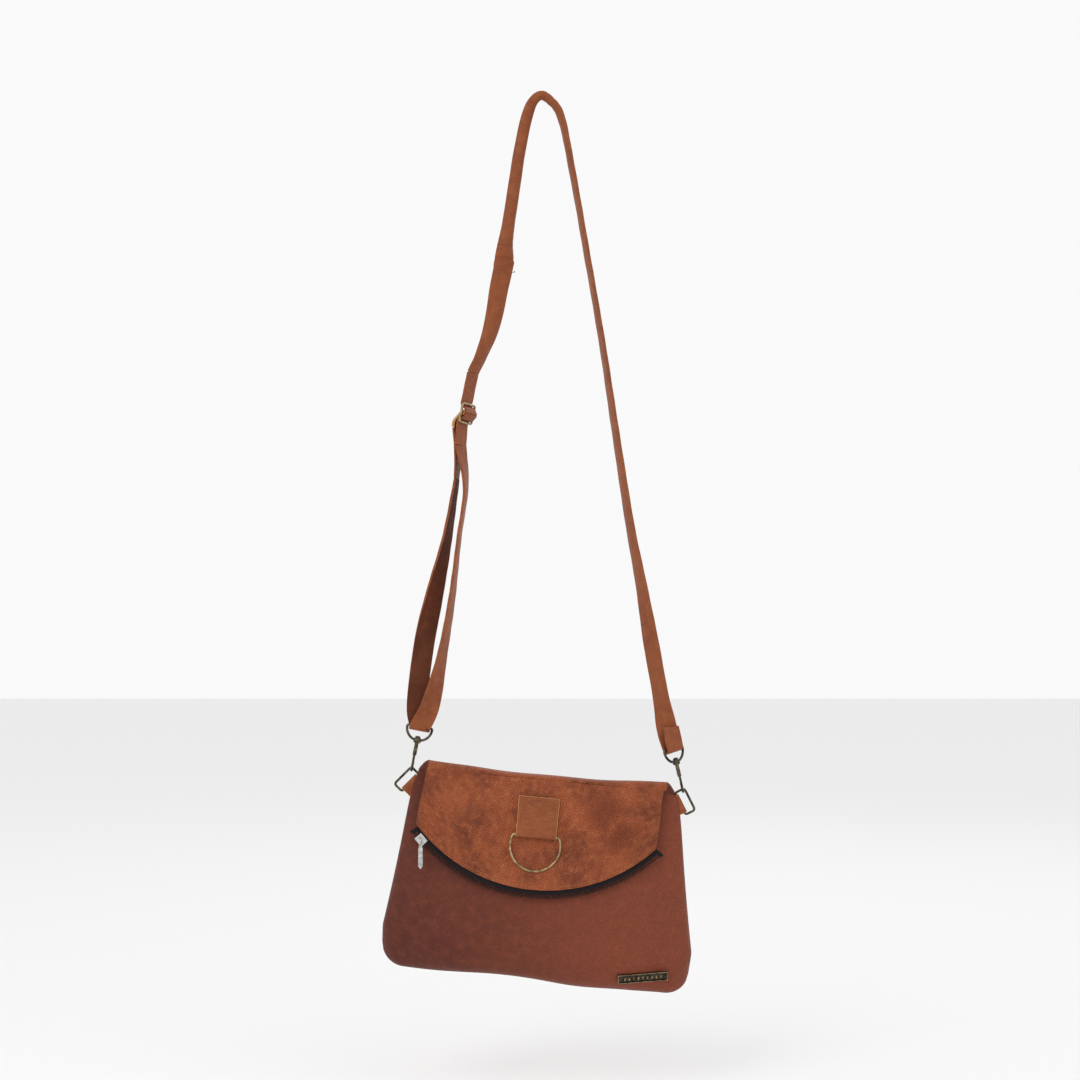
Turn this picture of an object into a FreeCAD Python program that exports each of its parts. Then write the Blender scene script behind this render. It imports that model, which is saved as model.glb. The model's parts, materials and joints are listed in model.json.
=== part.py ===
"""Fold-over sling bag hanging from its shoulder strap.

Frame: +Z up, +X to the bag's right as seen from the front, -Y towards the front.  The origin is the
point where a peg carries the strap, on the inner face of its topmost bend.  Lengths are in millimetres.

The bag has a frame of its own (origin at the middle of the top fold), turned by hang_tilt about Y because
the strap is hung a little off centre.  The flap, the side tabs and the snap hooks have frames of their own
too, and each piece is drawn in the frame where it is simplest.
"""
import FreeCAD, Part
import math
import os
import Sketcher
from FreeCAD import Placement, Rotation, Vector

DIMENSIONS = [
    # pouch
    ("hang_tilt", 5.4, "turn of the whole bag about Y, right side down, degrees"),
    ("hang_pitch", 2.4, "turn of the bag about its own X, foot backwards, degrees"),
    ("fold_x", 6.8, "middle of the top fold, from the peg"),
    ("fold_drop", 655.5, "top fold below the peg"),
    ("pouch_height", 205.0, "top fold to bottom seam"),
    ("pouch_width", 300.0, "widest part, near the bottom"),
    ("fold_width", 232.0, "width at the top fold"),
    ("shoulder", 13.0, "each side widens by this just below the fold"),
    ("widest_drop", 165.0, "widest part below the top fold"),
    ("pouch_shift", 5.0, "the pouch leans to the right by this at its widest"),
    ("pouch_front", 27.0, "depth of the front bulge"),
    ("pouch_back", 22.0, "depth of the back bulge"),
    ("leather", 2.0, "bag leather"),
    ("lining_gap", 0.6, "between leather and lining"),
    ("lining_sheet", 0.8, "lining thickness"),
    # flap
    ("fold_radius", 10.0, "outside of the top fold"),
    ("hinge_y", -4.0, "centre of the fold, in the bag frame"),
    ("flap_lean", 11.0, "flap leans forward over the bulge, degrees"),
    ("flap_shift", -4.5, "flap sits a little to the left"),
    ("flap_half", 116.8, "half the flap's width at its corners"),
    ("flap_corner", 54.5, "corners below the hinge"),
    ("flap_reach", 106.0, "lowest point below the hinge"),
    ("inner_face", 3.0, "inner flap layer, from the hinge axis"),
    ("outer_face", 8.0, "outer flap layer, from the hinge axis"),
    # zip, set round the curved edge
    ("tape_sheet", 0.6, "zip tape thickness"),
    ("tape_out", 4.4, "tape beyond the leather edge"),
    ("tape_in", 7.0, "tape under the leather"),
    ("teeth_width", 4.0, "chain across the travel"),
    ("teeth_depth", 3.0, "chain thickness"),
    ("zip_gap", 0.35, "slider clearance on the chain"),
    ("slider_span", 10.0, "slider along the chain"),
    ("slider_depth", 6.4, "slider thickness"),
    ("slider_rest", 42.7, "slider from the middle of the arc at rest, degrees"),
    # front tab and its big ring
    ("patch_width", 40.0, "front tab"),
    ("patch_height", 41.0, "front tab"),
    ("patch_x", -5.8, "front tab centre"),
    ("patch_top", 17.0, "front tab's top edge below the hinge"),
    ("patch_sheet", 2.6, "front tab, two layers"),
    ("dring_radius", 24.3, "big ring, wire centre"),
    ("dring_wire", 1.15, "big ring, wire radius"),
    ("dring_bar", 9.5, "big ring's bar above the ring centre"),
    ("dring_bend", 2.4, "big ring, corner bends"),
    # side tabs and rectangular rings
    ("left_tab_x", -132.1, "left ring's bar, bag frame"),
    ("left_tab_drop", 25.2, "left ring's bar below the fold"),
    ("left_tab_rise", 39.6, "left tab above the horizontal, degrees"),
    ("right_tab_x", 131.1, "right ring's bar, bag frame"),
    ("right_tab_drop", 20.9, "right ring's bar below the fold"),
    ("right_tab_rise", 32.0, "right tab above the horizontal, degrees"),
    ("tab_width", 20.0, "side tab along the bar"),
    ("tab_length", 17.0, "side tab from the bar to its sewn end"),
    ("tab_sheet", 1.4, "side tab leather"),
    ("ring_length", 23.6, "rectangular ring, wire centres"),
    ("ring_height", 10.6, "rectangular ring, wire centres"),
    ("ring_bend", 2.6, "rectangular ring, corner bends"),
    ("ring_wire", 1.2, "rectangular ring, wire radius"),
    # snap hooks
    ("left_hook_lean", 11.0, "left snap hook from the vertical, degrees"),
    ("right_hook_lean", -13.0, "right snap hook from the vertical, degrees"),
    ("right_eye_turn", 40.0, "right eye turned on its swivel, degrees"),
    ("claw_wire", 1.15, "claw, rod radius"),
    ("claw_half", 4.0, "claw, half its width at rod centres"),
    ("claw_tip", 6.0, "claw tip above the ring's wire"),
    ("shank_foot", 13.0, "shank's lower edge"),
    ("shank_top", 24.5, "shank's upper edge"),
    ("shank_depth", 3.6, "shank thickness"),
    ("slot_width", 1.8, "gate slot"),
    ("gate_sheet", 1.4, "gate thickness"),
    ("gate_pin_y", 3.4, "gate pivot"),
    ("gate_pin_z", 16.5, "gate pivot"),
    ("gate_pin_radius", 0.6, "gate pivot pin"),
    ("post_radius", 1.5, "swivel post"),
    ("swivel_gap", 0.1, "running clearance of the post"),
    ("barrel_radius", 3.5, "eye barrel"),
    ("barrel_foot", 24.8, "eye barrel's lower face"),
    ("barrel_top", 29.4, "eye barrel's upper face"),
    ("eye_radius", 12.3, "eye, wire centre"),
    ("eye_wire", 1.25, "eye, wire radius"),
    ("eye_bar", 1.5, "eye's bar above the eye centre"),
    ("eye_bend", 1.8, "eye, corner bends"),
    # strap
    ("strap_width", 20.0, "folded leather strap"),
    ("strap_sheet", 2.6, "strap thickness"),
    ("loop_radius", 3.1, "strap's middle layer round an eye's bar"),
    ("adjuster_x", -72.0, "adjuster's middle bar, from the peg"),
    ("adjuster_drop", 308.4, "adjuster's middle bar, below the peg"),
    ("adjuster_lean", 12.0, "adjuster from the vertical, degrees"),
    ("adjuster_turn", 62.0, "adjuster turned about the strap, degrees"),
    ("adjuster_half", 9.0, "outer bars from the middle bar"),
    ("adjuster_width", 24.0, "frame, wire centres"),
    ("adjuster_bend", 2.5, "frame, corner bends"),
    ("adjuster_wire", 1.2, "frame, wire radius"),
    ("sewn_sheet", 1.5, "pared strap end round the middle bar"),
    # name plate
    ("plate_width", 49.0, "plate"),
    ("plate_height", 10.0, "plate"),
    ("plate_sheet", 1.6, "plate thickness"),
    ("plate_rim", 0.9, "raised rim"),
    ("plate_x", 110.0, "plate centre, bag frame"),
    ("plate_drop", 189.0, "plate centre below the fold"),
    ("plate_turn", 9.7, "plate turned, right end up, degrees"),
]

doc = FreeCAD.newDocument("SlingBag")
sheet = doc.addObject("Spreadsheet::Sheet", "Sizes")
for row, (alias, value, note) in enumerate(DIMENSIONS, 1):
    sheet.set(f"A{row}", alias)
    sheet.set(f"B{row}", str(value))
    sheet.setAlias(f"B{row}", alias)
    sheet.set(f"C{row}", note)
doc.recompute()

X_AXIS = Vector(1, 0, 0)
Y_AXIS = Vector(0, 1, 0)
Z_AXIS = Vector(0, 0, 1)
PIECES = []


def size(alias):
    """The number in the sheet's cell."""
    return float(getattr(sheet, alias))


# ---------------------------------------------------------------- frames
def turned(point, axis, degrees):
    return Placement(point, Rotation(axis, degrees))


BAG = turned(Vector(size("fold_x"), 0, -size("fold_drop")), Y_AXIS, size("hang_tilt"))
BAG = BAG * turned(Vector(), X_AXIS, size("hang_pitch"))
HINGE_Z = -size("fold_radius")
FLAP = BAG * turned(Vector(0, size("hinge_y"), HINGE_Z), X_AXIS, -size("flap_lean"))
ARC_SAG = size("flap_reach") - size("flap_corner")
ARC_RADIUS = (size("flap_half") ** 2 + ARC_SAG**2) / (2 * ARC_SAG)
ARC_Z = ARC_RADIUS - size("flap_reach")
ARC_HALF_DEG = math.degrees(math.asin(size("flap_half") / ARC_RADIUS))


def tab_frame(side):
    """Bar centre of a side ring, with Z outwards along the tab and X along the bar."""
    sign = -1 if side == "left" else 1
    centre = Vector(size(f"{side}_tab_x"), 0, -size(f"{side}_tab_drop"))
    return BAG * turned(centre, Y_AXIS, sign * (90 - size(f"{side}_tab_rise")))


def ring_corner(side):
    """Centre of the highest corner bend of a side ring, where its snap hook hangs."""
    along = (1 if side == "left" else -1) * (size("ring_length") / 2 - size("ring_bend"))
    return tab_frame(side).multVec(Vector(along, 0, size("ring_height") - size("ring_bend")))


def hook_frame(side):
    """On the ring's wire, with Z up the snap hook and its claw in the YZ plane.

    The claw's rod passes through the middle of the corner bend, just below the wire.
    """
    leaning = turned(ring_corner(side), Y_AXIS, size(f"{side}_hook_lean"))
    return leaning * turned(Vector(0, 0, size("ring_bend") + 0.1), Z_AXIS, 0)


def eye_frame(side):
    """Centre of a snap hook's eye, with X along its bar."""
    turn = size("right_eye_turn") if side == "right" else 0
    lift = (size("barrel_foot") + size("barrel_top")) / 2 + size("eye_radius")
    return hook_frame(side) * turned(Z_AXIS * lift, Z_AXIS, turn)


ADJUSTER = turned(
    Vector(size("adjuster_x"), 0, -size("adjuster_drop")), Y_AXIS, size("adjuster_lean")
) * Placement(Vector(), Rotation(Z_AXIS, size("adjuster_turn")))


# ---------------------------------------------------------------- drawing helpers
def piece(kind, name, place):
    made = doc.addObject(kind, name)
    made.Label = name
    made.Placement = place
    PIECES.append(made)
    return made


def shaped(name, shape, place=Placement()):
    """A sub-part whose soft or swept form comes from Part's own functions."""
    made = piece("Part::Feature", name, Placement())
    made.Shape = shape
    made.Placement = place
    return made


def sketch_on(body, name, role, offset=0.0):
    plane = next(f for f in body.Origin.OriginFeatures if f.Role == role)
    sketch = body.newObject("Sketcher::SketchObject", name)
    sketch.AttachmentSupport = (plane, [""])
    sketch.MapMode = "FlatFace"
    sketch.AttachmentOffset = Placement(Vector(0, 0, offset), Rotation())
    return sketch


def bound(sketch, kind, geometry, formula):
    """A named size in a sketch, bound to a formula on the sheet."""
    number = sketch.addConstraint(Sketcher.Constraint(kind, *geometry, 1.0))
    sketch.setExpression(f"Constraints[{number}]", formula)


def circle(sketch, x, z, radius, formula=None):
    number = sketch.addGeometry(Part.Circle(Vector(x, z, 0), Z_AXIS, radius))
    if formula:
        constraint = sketch.addConstraint(Sketcher.Constraint("Radius", number, radius))
        sketch.setExpression(f"Constraints[{constraint}]", formula)
    return number


def outline(sketch, points):
    """A closed outline of straight lines."""
    corners = [Vector(x, z, 0) for x, z in points]
    for start, end in zip(corners, corners[1:] + corners[:1]):
        sketch.addGeometry(Part.LineSegment(start, end))
    count = len(corners)
    first = sketch.GeometryCount - count
    for number in range(count):
        after = first + (number + 1) % count
        sketch.addConstraint(Sketcher.Constraint("Coincident", first + number, 2, after, 1))


def rectangle(sketch, width, height, x=0.0, z=0.0):
    """A rectangle about (x, z) whose width and height are formulas on the sheet."""
    outline(sketch, [(x - 1, z - 1), (x + 1, z - 1), (x + 1, z + 1), (x - 1, z + 1)])
    for line, way in ((0, "Horizontal"), (1, "Vertical"), (2, "Horizontal"), (3, "Vertical")):
        sketch.addConstraint(Sketcher.Constraint(way, line))
    bound(sketch, "DistanceX", (0, 1, 0, 2), width)
    bound(sketch, "DistanceY", (1, 1, 1, 2), height)
    middle = sketch.addGeometry(Part.Point(Vector(x, z, 0)), True)
    sketch.addConstraint(Sketcher.Constraint("Block", middle))
    sketch.addConstraint(Sketcher.Constraint("Symmetric", 0, 1, 2, 1, middle, 1))


def pad(body, sketch, length, name="pad", both=False, kind="PartDesign::Pad"):
    made = body.newObject(kind, name)
    made.Profile = sketch
    made.setExpression("Length", length)
    made.Midplane = both
    return made


def pipe(body, spine, profile):
    made = body.newObject("PartDesign::AdditivePipe", "pipe")
    made.Profile = profile
    made.Spine = spine
    made.Transition = "Transformed"
    return made


def arc_between(centre, radius, start_deg, end_deg):
    circle_of = Part.Circle(Vector(*centre, 0), Z_AXIS, radius)
    return Part.ArcOfCircle(circle_of, math.radians(start_deg), math.radians(end_deg))


def wire_rectangle(name, place, width, height, bend, radius, lift=0.0):
    """A bent-wire rectangle in the XZ plane, its lower side at lift, closed."""
    body = piece("PartDesign::Body", name, place)
    spine = sketch_on(body, "spine", "XZ_Plane")
    half, low, high = size(width) / 2, lift, lift + height
    r = size(bend)
    inner = half - r
    spine.addGeometry(Part.LineSegment(Vector(-inner, low, 0), Vector(inner, low, 0)))
    spine.addGeometry(arc_between((inner, low + r), r, 270, 360))
    spine.addGeometry(Part.LineSegment(Vector(half, low + r, 0), Vector(half, high - r, 0)))
    spine.addGeometry(arc_between((inner, high - r), r, 0, 90))
    spine.addGeometry(Part.LineSegment(Vector(inner, high, 0), Vector(-inner, high, 0)))
    spine.addGeometry(arc_between((-inner, high - r), r, 90, 180))
    spine.addGeometry(Part.LineSegment(Vector(-half, high - r, 0), Vector(-half, low + r, 0)))
    spine.addGeometry(arc_between((-inner, low + r), r, 180, 270))
    section = sketch_on(body, "section", "YZ_Plane")
    circle(section, 0, low, size(radius), f"Sizes.{radius}")
    pipe(body, spine, section)
    return body


def wire_dee(body, radius, bar, bend, wire, centre_z):
    """A D of bent wire in the XZ plane: a round part below and a straight bar above its centre."""
    r, c, f = size(radius), size(bar), size(bend)
    fx, fz = math.sqrt((r - f) ** 2 - (c - f) ** 2), c - f
    rise = math.degrees(math.atan2(fz, fx))
    spine = sketch_on(body, "spine", "XZ_Plane")
    spine.addGeometry(arc_between((0, centre_z), r, 180 - rise, 360 + rise))
    spine.addGeometry(arc_between((fx, centre_z + fz), f, rise, 90))
    spine.addGeometry(
        Part.LineSegment(Vector(fx, centre_z + c, 0), Vector(-fx, centre_z + c, 0))
    )
    spine.addGeometry(arc_between((-fx, centre_z + fz), f, 90, 180 - rise))
    section = sketch_on(body, "section", "YZ_Plane")
    circle(section, 0, centre_z - r, size(wire), f"Sizes.{wire}")
    return pipe(body, spine, section)


def block(name, place, width, height, depth, x=0.0, z=0.0, y=0.0):
    """A plate drawn on the XZ plane and padded towards -Y from y."""
    body = piece("PartDesign::Body", name, place)
    sketch = sketch_on(body, "outline", "XZ_Plane", -y)
    rectangle(sketch, width, height, x, z)
    pad(body, sketch, depth)
    return body


# ---------------------------------------------------------------- pouch
def profile_at(drop):
    """Middle, half width and front and back depth of the pouch at a drop below the top fold.

    The sides round out at the shoulders and lean out to the widest part; the bottom is drawn in to its seam.
    """
    share = drop / size("pouch_height")
    down = min(drop / size("widest_drop"), 1.0)
    shoulder = size("shoulder")
    half = size("fold_width") / 2 + shoulder * (1 - math.exp(-drop / shoulder))
    half += (size("pouch_width") / 2 - size("fold_width") / 2 - shoulder) * down**1.35
    foot = min(1.0, max(0.0, (share - 0.78) / 0.22))
    half -= 15.0 * foot**2.6
    bulge = math.sin(min(share / 0.76, 1.0) * math.pi / 2) ** 1.5
    closing = math.sqrt(1 - foot**3)
    seam = 3.2
    top = 2.8
    front = seam + (top + (size("pouch_front") - seam - top) * bulge) * closing
    back = seam + (top + (size("pouch_back") - seam - top) * bulge) * closing
    return size("pouch_shift") * down, half, front, back


def half_lens(middle, half, depth, sign, drop, inset):
    """A half section of the pouch: a bulged curve closed by a straight side on the seam plane."""
    points = []
    count = 12
    for step in range(count + 1):
        angle = math.pi * step / count
        across = math.copysign(abs(math.cos(angle)) ** 0.62, math.cos(angle))
        out = abs(math.sin(angle)) ** 0.85
        points.append(Vector(middle + across * (half - inset), sign * out * (depth - inset), -drop))
    points[0].y = 0
    points[-1].y = 0
    curve = Part.BSplineCurve()
    curve.interpolate(points)
    closing = Part.LineSegment(points[-1], points[0])
    return Part.Wire([curve.toShape(), closing.toShape()])


def half_pouch(sign, inset, top_drop, foot_lift):
    """A solid half of the pouch, inset from its outer face."""
    height = size("pouch_height")
    stations = [0.05, 0.16, 0.30, 0.45, 0.60, 0.72, 0.82, 0.90, 0.96, 1.0]
    last = height - foot_lift
    wires = []
    for share in stations:
        drop = min(top_drop + (height - size("fold_radius")) * (share - 0.05) / 0.95, last)
        middle, half, front, back = profile_at(min(drop + foot_lift * 0.3, height))
        wires.append(half_lens(middle, half, front if sign < 0 else back, sign, drop, inset))
    return Part.makeLoft(wires, True, False)


def shell_half(sign, outer, inner):
    """One half of a shell between two insets, open at the top."""
    top = size("fold_radius") + 0.5
    outside = half_pouch(sign, outer, top, outer)
    inside = half_pouch(sign, inner, top - 2, inner)
    trimmed = outside.cut(inside)
    return trimmed.Solids[0] if len(trimmed.Solids) == 1 else trimmed


leather = size("leather")
lining_out = leather + size("lining_gap")
lining_in = lining_out + size("lining_sheet")
shaped("front_panel", shell_half(-1, 0.0, leather), BAG)
shaped("back_panel", shell_half(1, 0.0, leather), BAG)
shaped("lining_front", shell_half(-1, lining_out, lining_in), BAG)
shaped("lining_back", shell_half(1, lining_out, lining_in), BAG)


# ---------------------------------------------------------------- top fold (bends with the flap)
def fold_roll(name, radius, sheet_size, start_y):
    """A leather bend about the hinge axis, from straight up-and-over to the flap's plane."""
    body = piece("PartDesign::Body", name, BAG)
    section = sketch_on(body, "section", "YZ_Plane")
    centre = (size("hinge_y"), HINGE_Z)
    inner, outer = radius, radius + sheet_size
    first, last = start_y, 180 - size("flap_lean") + 0.0
    section.addGeometry(arc_between(centre, outer, first, last))
    section.addGeometry(arc_between(centre, inner, first, last))
    for degrees in (first, last):
        way = Vector(math.cos(math.radians(degrees)), math.sin(math.radians(degrees)), 0)
        base = Vector(*centre, 0)
        section.addGeometry(Part.LineSegment(base + way * inner, base + way * outer))
    pad(body, section, "Sizes.fold_width - 2 * Sizes.leather", "roll", True)
    return body


fold_roll("fold_outer", size("outer_face") + 0.05, leather - 0.1, 0.0)
fold_roll("fold_inner", size("inner_face") + 0.05, leather - 0.1, 90.0)


# ---------------------------------------------------------------- flap
def flap_outline(sketch, grow=0.0):
    """The flap as it is cut: straight top and sides and a round lower edge."""
    middle, half = size("flap_shift"), size("flap_half") + grow
    top_half = size("fold_width") / 2 - size("leather")
    corner_z = -size("flap_corner")
    sketch.addGeometry(Part.LineSegment(Vector(-top_half, 0, 0), Vector(top_half, 0, 0)))
    right = Vector(middle + half, corner_z, 0)
    left = Vector(middle - half, corner_z, 0)
    sketch.addGeometry(Part.LineSegment(Vector(top_half, 0, 0), right))
    sketch.addGeometry(Part.Arc(right, Vector(middle, -size("flap_reach"), 0), left))
    sketch.addGeometry(Part.LineSegment(left, Vector(-top_half, 0, 0)))


def flap_layer(name, face):
    body = piece("PartDesign::Body", name, FLAP)
    cut = sketch_on(body, "outline", "XZ_Plane", size(face))
    flap_outline(cut)
    pad(body, cut, "Sizes.leather")
    return body


flap_layer("flap_outer", "outer_face")
flap_layer("flap_inner", "inner_face")


def ring_sector(sketch, inner, outer, half_deg, middle_deg=0.0):
    """Part of a flat ring about the arc centre, measured from straight down, towards the left."""
    centre = (size("flap_shift"), ARC_Z)
    first, last = 270 - middle_deg - half_deg, 270 - middle_deg + half_deg
    sketch.addGeometry(arc_between(centre, outer, first, last))
    sketch.addGeometry(arc_between(centre, inner, first, last))
    for degrees in (first, last):
        way = Vector(math.cos(math.radians(degrees)), math.sin(math.radians(degrees)), 0)
        base = Vector(*centre, 0)
        sketch.addGeometry(Part.LineSegment(base + way * inner, base + way * outer))


TAPE_EDGE = ARC_RADIUS + size("tape_out")
TEETH_IN = TAPE_EDGE + 0.1
TEETH_OUT = TEETH_IN + size("teeth_width")
ZIP_MIDDLE = (size("inner_face") + size("outer_face") + size("leather")) / 2


def sector_plate(name, inner, outer, half_deg, middle_y, depth, middle_deg=0.0):
    """A ring sector of the zip, depth thick about middle_y in front of the hinge axis."""
    body = piece("PartDesign::Body", name, FLAP)
    sketch = sketch_on(body, "outline", "XZ_Plane", middle_y)
    ring_sector(sketch, inner, outer, half_deg, middle_deg)
    pad(body, sketch, depth, "plate", True)
    return body


TAPE_IN = ARC_RADIUS - size("tape_in")
sector_plate("zip_tape_front", TAPE_IN, TAPE_EDGE, ARC_HALF_DEG - 0.6, ZIP_MIDDLE + 0.6, "Sizes.tape_sheet")
sector_plate("zip_tape_back", TAPE_IN, TAPE_EDGE, ARC_HALF_DEG - 0.6, ZIP_MIDDLE - 0.6, "Sizes.tape_sheet")
sector_plate("zip_teeth", TEETH_IN, TEETH_OUT, ARC_HALF_DEG - 1.6, ZIP_MIDDLE, "Sizes.teeth_depth")


def zip_stop(name, side):
    """A metal stop closed round the end of the chain."""
    degrees = side * (ARC_HALF_DEG - 0.9)
    return sector_plate(
        name, TEETH_IN, TEETH_OUT + 0.6, 0.6, ZIP_MIDDLE, "Sizes.teeth_depth + 1.0", degrees
    )


zip_stop("zip_stop_left", 1)
zip_stop("zip_stop_right", -1)


def zip_slider():
    """The slider body: two wings round the chain, with a channel for the teeth and a slot for the tapes."""
    rest = size("slider_rest")
    middle_radius = (TEETH_IN + TEETH_OUT) / 2
    half_deg = math.degrees(size("slider_span") / 2 / middle_radius)
    gap = size("zip_gap")
    body = sector_plate(
        "zip_slider", TEETH_IN - 2.6, TEETH_OUT + 1.6, half_deg, ZIP_MIDDLE, "Sizes.slider_depth", rest
    )
    cuts = (
        ("channel", TEETH_IN - gap, TEETH_OUT + gap, "Sizes.teeth_depth + 2 * Sizes.zip_gap"),
        ("slot", TEETH_IN - 4, TEETH_IN + 1, "Sizes.tape_sheet + 2 * 0.6 + 2 * Sizes.zip_gap"),
    )
    for label, inner, outer, depth in cuts:
        sketch = sketch_on(body, label, "XZ_Plane", ZIP_MIDDLE)
        ring_sector(sketch, inner, outer, half_deg + 1, rest)
        pad(body, sketch, depth, label + "_cut", True, "PartDesign::Pocket")
    return body


zip_slider()
SLIDER_ANGLE = math.radians(size("slider_rest"))
SLIDER_RADIUS = (TEETH_IN + TEETH_OUT) / 2
SLIDER_AT = Vector(
    size("flap_shift") - SLIDER_RADIUS * math.sin(SLIDER_ANGLE),
    0,
    ARC_Z - SLIDER_RADIUS * math.cos(SLIDER_ANGLE),
)
# On the slider: X along its travel, Z towards the arc centre.
SLIDER = FLAP * Placement(SLIDER_AT, Rotation(Y_AXIS, size("slider_rest")))
SLIDER_FRONT = -(ZIP_MIDDLE + size("slider_depth") / 2)
BRIDGE_RISE = 4.0
BRIDGE_BAR = 0.9


def zip_bridge():
    """The arch on the slider's face, along the travel, that the pull's link hangs on."""
    body = piece("PartDesign::Body", "zip_bridge", SLIDER)
    sketch = sketch_on(body, "arch", "XY_Plane")
    foot, top = SLIDER_FRONT, SLIDER_FRONT - BRIDGE_RISE
    outline(sketch, [(-3.8, foot), (3.8, foot), (3.0, top), (-3.0, top)])
    pad(body, sketch, "Sizes.tape_sheet + 0.4", "arch_pad", True)
    hole = sketch_on(body, "opening", "XY_Plane")
    under = top + BRIDGE_BAR
    outline(hole, [(-2.8, foot + 1), (2.8, foot + 1), (2.3, under), (-2.3, under)])
    pad(body, hole, "Sizes.teeth_depth", "opening_cut", True, "PartDesign::Pocket")
    return body


zip_bridge()
LINK_WIRE = 0.5
LINK_RADIUS = 3.1
BRIDGE_EYE = SLIDER.multVec(Vector(0, SLIDER_FRONT - BRIDGE_RISE + BRIDGE_BAR / 2, 0))
LINK_CENTRE = BRIDGE_EYE + Vector(0, -0.9, -1.0)
LINK_FOOT = LINK_CENTRE + Vector(0, 0, -LINK_RADIUS)
shaped("zip_link", Part.makeTorus(LINK_RADIUS, LINK_WIRE, LINK_CENTRE, X_AXIS))


def zip_pull():
    """A long slim pull with an eye at its top, hanging straight down from the link."""
    body = piece("PartDesign::Body", "zip_pull", Placement(LINK_FOOT + Vector(0, 0, -0.2), Rotation()))
    sketch = sketch_on(body, "outline", "XZ_Plane")
    shoulder, waist, foot = (1.5, 1.4), (1.5, -1.4), (2.1, -4)
    right = [shoulder, waist, foot, (2.1, -21)]
    left = [(-x, z) for x, z in reversed(right)]
    outline(sketch, right + [(0, -23.5)] + left)
    pad(body, sketch, "Sizes.tape_sheet * 2", "strip", True)
    eye_hole = sketch_on(body, "eye", "XZ_Plane")
    circle(eye_hole, 0, 0, 0.9)
    pad(body, eye_hole, "Sizes.tape_sheet * 4", "eye_cut", True, "PartDesign::Pocket")
    return body


zip_pull()


# ---------------------------------------------------------------- front tab and its ring
DRING_Z = -(size("patch_top") + size("patch_height") - 3.4 + size("dring_bar"))
PATCH_FACE = -(size("outer_face") + leather)
DRING_Y = PATCH_FACE - 2.75
DRING = FLAP * Placement(Vector(size("patch_x"), DRING_Y, DRING_Z), Rotation())


def front_tab():
    """A square patch whose lower edge is turned into a sleeve for the ring's bar."""
    beside = Placement(Vector(size("patch_x"), 0, 0), Rotation())
    body = piece("PartDesign::Body", "front_tab", FLAP * beside)
    bar_z = DRING_Z + size("dring_bar")
    top_z = -size("patch_top")
    face = PATCH_FACE - 0.05
    section = sketch_on(body, "section", "YZ_Plane")
    outline(
        section,
        [
            (face, top_z),
            (face - size("patch_sheet"), top_z),
            (face - size("patch_sheet"), bar_z),
            (face, bar_z),
        ],
    )
    pad(body, section, "Sizes.patch_width", "patch", True)
    sleeve = sketch_on(body, "sleeve", "YZ_Plane")
    circle(sleeve, DRING_Y, bar_z, 2.65)
    pad(body, sleeve, "Sizes.patch_width", "sleeve_pad", True)
    bore = sketch_on(body, "bore", "YZ_Plane")
    circle(bore, DRING_Y, bar_z, size("dring_wire") + 0.3, "Sizes.dring_wire + 0.3")
    pad(body, bore, "Sizes.patch_width + 2", "bore_cut", True, "PartDesign::Pocket")
    return body


front_tab()
dring = piece("PartDesign::Body", "d_ring", DRING)
wire_dee(dring, "dring_radius", "dring_bar", "dring_bend", "dring_wire", 0.0)


# ---------------------------------------------------------------- side tabs and rings
def side_tab(side):
    """A strip folded round the ring's bar, both ends sewn together into the side seam."""
    body = piece("PartDesign::Body", f"{side}_side_tab", tab_frame(side))
    bore = size("ring_wire") + 0.3
    outer = bore + size("tab_sheet")
    sleeve = sketch_on(body, "sleeve", "YZ_Plane")
    circle(sleeve, 0, 0, outer)
    pad(body, sleeve, "Sizes.tab_width", "sleeve_pad", True)
    tail = sketch_on(body, "tail", "YZ_Plane")
    sheet_half = size("tab_sheet")
    outline(
        tail,
        [
            (-sheet_half, -1),
            (sheet_half, -1),
            (sheet_half, -size("tab_length")),
            (-sheet_half, -size("tab_length")),
        ],
    )
    pad(body, tail, "Sizes.tab_width", "tail_pad", True)
    hole = sketch_on(body, "hole", "YZ_Plane")
    circle(hole, 0, 0, bore, "Sizes.ring_wire + 0.3")
    pad(body, hole, "Sizes.tab_width + 2", "hole_cut", True, "PartDesign::Pocket")
    return body


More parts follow.
